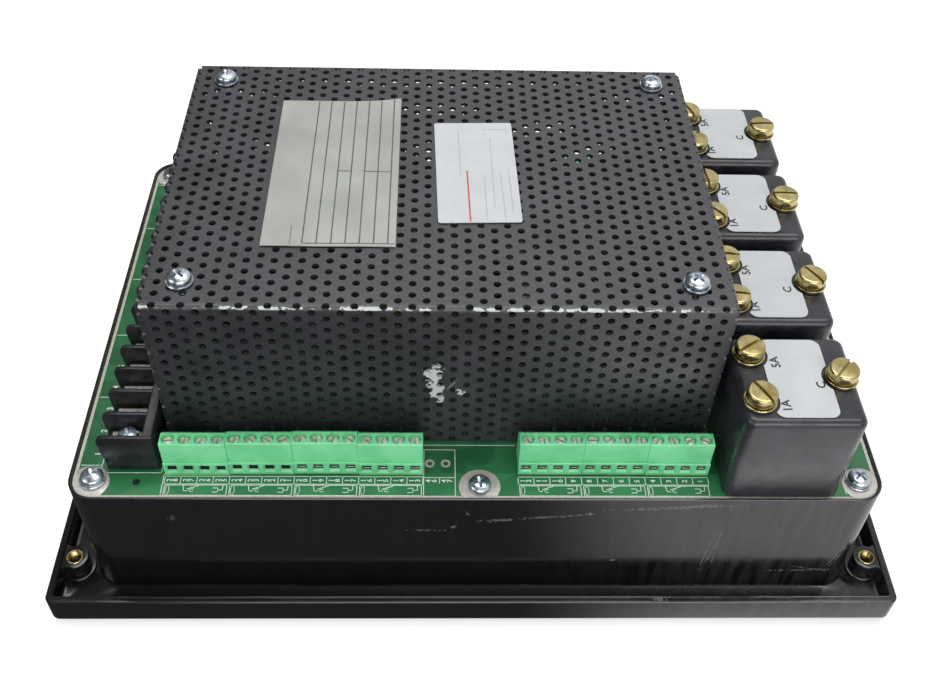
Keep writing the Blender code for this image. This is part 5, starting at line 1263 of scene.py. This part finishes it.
through = ((-EASING, face_low.z - 1), (-EASING, face_low.z - 0.01), (0, face_low.z + EASING), (0, face_high.z + 1))
key_overlap = Vector((KEY_OVERLAP, KEY_OVERLAP))
openings = [(view_half, 0.8, view_centre)]
openings += [(((high - low) / 2).xy - key_overlap, 2.5, ((low + high) / 2).xy) for low, high in keys]
panel = carve(panel, *[skin(tier(half, radius, through, centre, 4)) for half, radius, centre in openings],
              *[turned([(LIGHT_HOLE - inset, z) for inset, z in through], (x, led_y), 24) for x in led_x])
settle("front_plate", panel, face, ["faceplate"])
pane_levels = ((0.2, window_low.z), (0.0, window_low.z + 0.2), (0.0, window_high.z - 0.2), (0.2, window_high.z))
settle("window_pane", skin(tier(pane_half, 1.2, pane_levels, view_centre, 3, fixed=True)), acrylic,
       ["display_window"])

# %% [markdown]
# The display is a glass cell in a black metal frame on its own small board. Unlit, it is a dull yellow-green
# in which the empty character cells are just visible as darker squares; the copy tree sets out two rows of
# twenty. The status lights are domes of green-tinted epoxy, and each key is a moulded grey cap with a
# rounded rim.
# %% Display, status lights and keys
frame_coat = surface("black_painted_display_frame", "#1b1c1d", rough=(5, 0.15, 3, (0.38, 0.52)))
glass = surface("unlit_display_cell", ("#76854d", "#808f57"), (18, 0.15), 0.18)
ghost = surface("empty_character_cell", ("#616f3b", "#6a7842"), (2, 0.2), 0.2)
epoxy = surface("green_tinted_epoxy", ("#378f45", "#4aa658"), (3, 0.2), 0.12, Transmission_Weight=0.5, IOR=1.5)
cap_grey = surface("grey_moulded_key", ("#a6a8aa", "#adafb1"), (5, 0.3, 2), (0.7, 0.2, 3, (0.38, 0.55)))
CELL_STEP = 4.4
KEY_FLANGE = 1.2
KEY_CORNER = 2.5
levels = ((-6.6, 6.6), (-7, 7.0), (-7, module_high.z - 1.7), (-10, module_high.z - 1.6), (-10, module_high.z))
settle("display_frame", skin(tier(view_half, 1.0, levels, view_centre, 3, fixed=True)), frame_coat,
       ["display_module"])
levels = ((0.3, module_low.z), (0.1, module_low.z + 0.2), (0.1, 6.7))
settle("display_glass", skin(tier(view_half, 0.6, levels, view_centre, 3, fixed=True)), glass)
copies("character_cells", block((-1.7, -3.1, -0.03), (1.7, 3.1, 0.05), 0.02),
       [(view_centre.x + (index - 9.5) * CELL_STEP, view_centre.y + row * CELL_STEP, module_low.z)
        for row in (-1, 1) for index in range(20)], ghost)
lamp = turned([(0.4, 0.0), (1.3, 0.18), (2.0, 0.75), (2.45, 1.7), (2.5, 2.6), (2.5, 9.3), (2.9, 9.35), (2.9, 10.3)],
              sides=24)
copies("status_lights", lamp, [(x, led_y, face_low.z - 0.4) for x in led_x], epoxy)
for number, (low, high) in enumerate(keys, 1):
    centre = ((low + high) / 2).xy
    half = ((high - low) / 2).xy - Vector((KEY_FLANGE, KEY_FLANGE))
    loops = tier(half, 1.0, [(2.2, low.z + 0.12)], centre, 5, fixed=True)
    loops += tier(half, KEY_CORNER, [(inset, low.z + 0.9 - top) for inset, top in reversed(arc(0.8, 0.9, 4))],
                  centre, 5)
    loops += tier(half, KEY_CORNER, ((0, 3.5), (-KEY_FLANGE, 3.5), (-KEY_FLANGE, 4.7), (4.0, 4.7), (4.0, high.z)),
                  centre, 5, fixed=True)
    settle(f"key_cap_{number}", skin(loops), cap_grey, [f"key_{number:02d}"], f"key_{number:02d}_body")

# %% [markdown]
# Two boards stand inside, seen only when the relay is open: the front board with the key switches, and the
# processor board on four spacers, with its chips and the two long pin strips that reach the rear board.
# They share the mask and the metals that are already made.
# %% Inner boards
chip_epoxy = surface("black_chip_epoxy", ("#1d1d20", "#2a2a2e"), (4, 0.2), (0.8, 0.2, 3, (0.42, 0.6)))
CHIP_LOW, CHIP_HIGH = 31.6, 35.0
inner_half = extent("front_board")[1].xy
for node, low, high in (("front_board", 12.0, 13.6), ("processor_board", 30.0, 31.6)):
    levels = ((0.15, low), (0.0, low + 0.15), (0.0, high - 0.15), (0.15, high))
    settle(node + "_plate", skin(tier(inner_half, 1.3, levels, steps=4, fixed=True)), solder_mask,
           [node])
key_centres = [((low + high) / 2).xy for low, high in keys]
copies("key_switches", block((-3, -3, 0), (3, 3, 3.5), 0.3), [(*centre, 8.4) for centre in key_centres], chip_epoxy)
copies("switch_plungers", turned([(1.4, 0.0), (1.7, 0.25), (1.7, 1.6)], sides=20),
       [(*centre, 6.85) for centre in key_centres], zinc)
for name, centres, (x, y), low, high in (
        ("main_chips", ((-50, 10),), (14, 14), CHIP_LOW, CHIP_HIGH),
        ("side_chips", ((45, 0),), (10, 10), CHIP_LOW, CHIP_HIGH),
        ("memory_chips", ((-10, 12), (15, 12)), (8, 18), CHIP_LOW, CHIP_HIGH),
        ("pin_strips", ((0, -43), (0, 43)), (30, 4), 31.7, 53.1)):
    copies(name, block((-x, -y, low), (x, y, high), 0.4), [(*centre, 0) for centre in centres], chip_epoxy)
spacer_half = inner_half - Vector((6, 6))
copies("board_spacers", turned([(3.2, 14.0), (3.2, 29.9)], sides=6),
       [(x * spacer_half.x, y * spacer_half.y, 0) for x in (-1, 1) for y in (-1, 1)], brass)
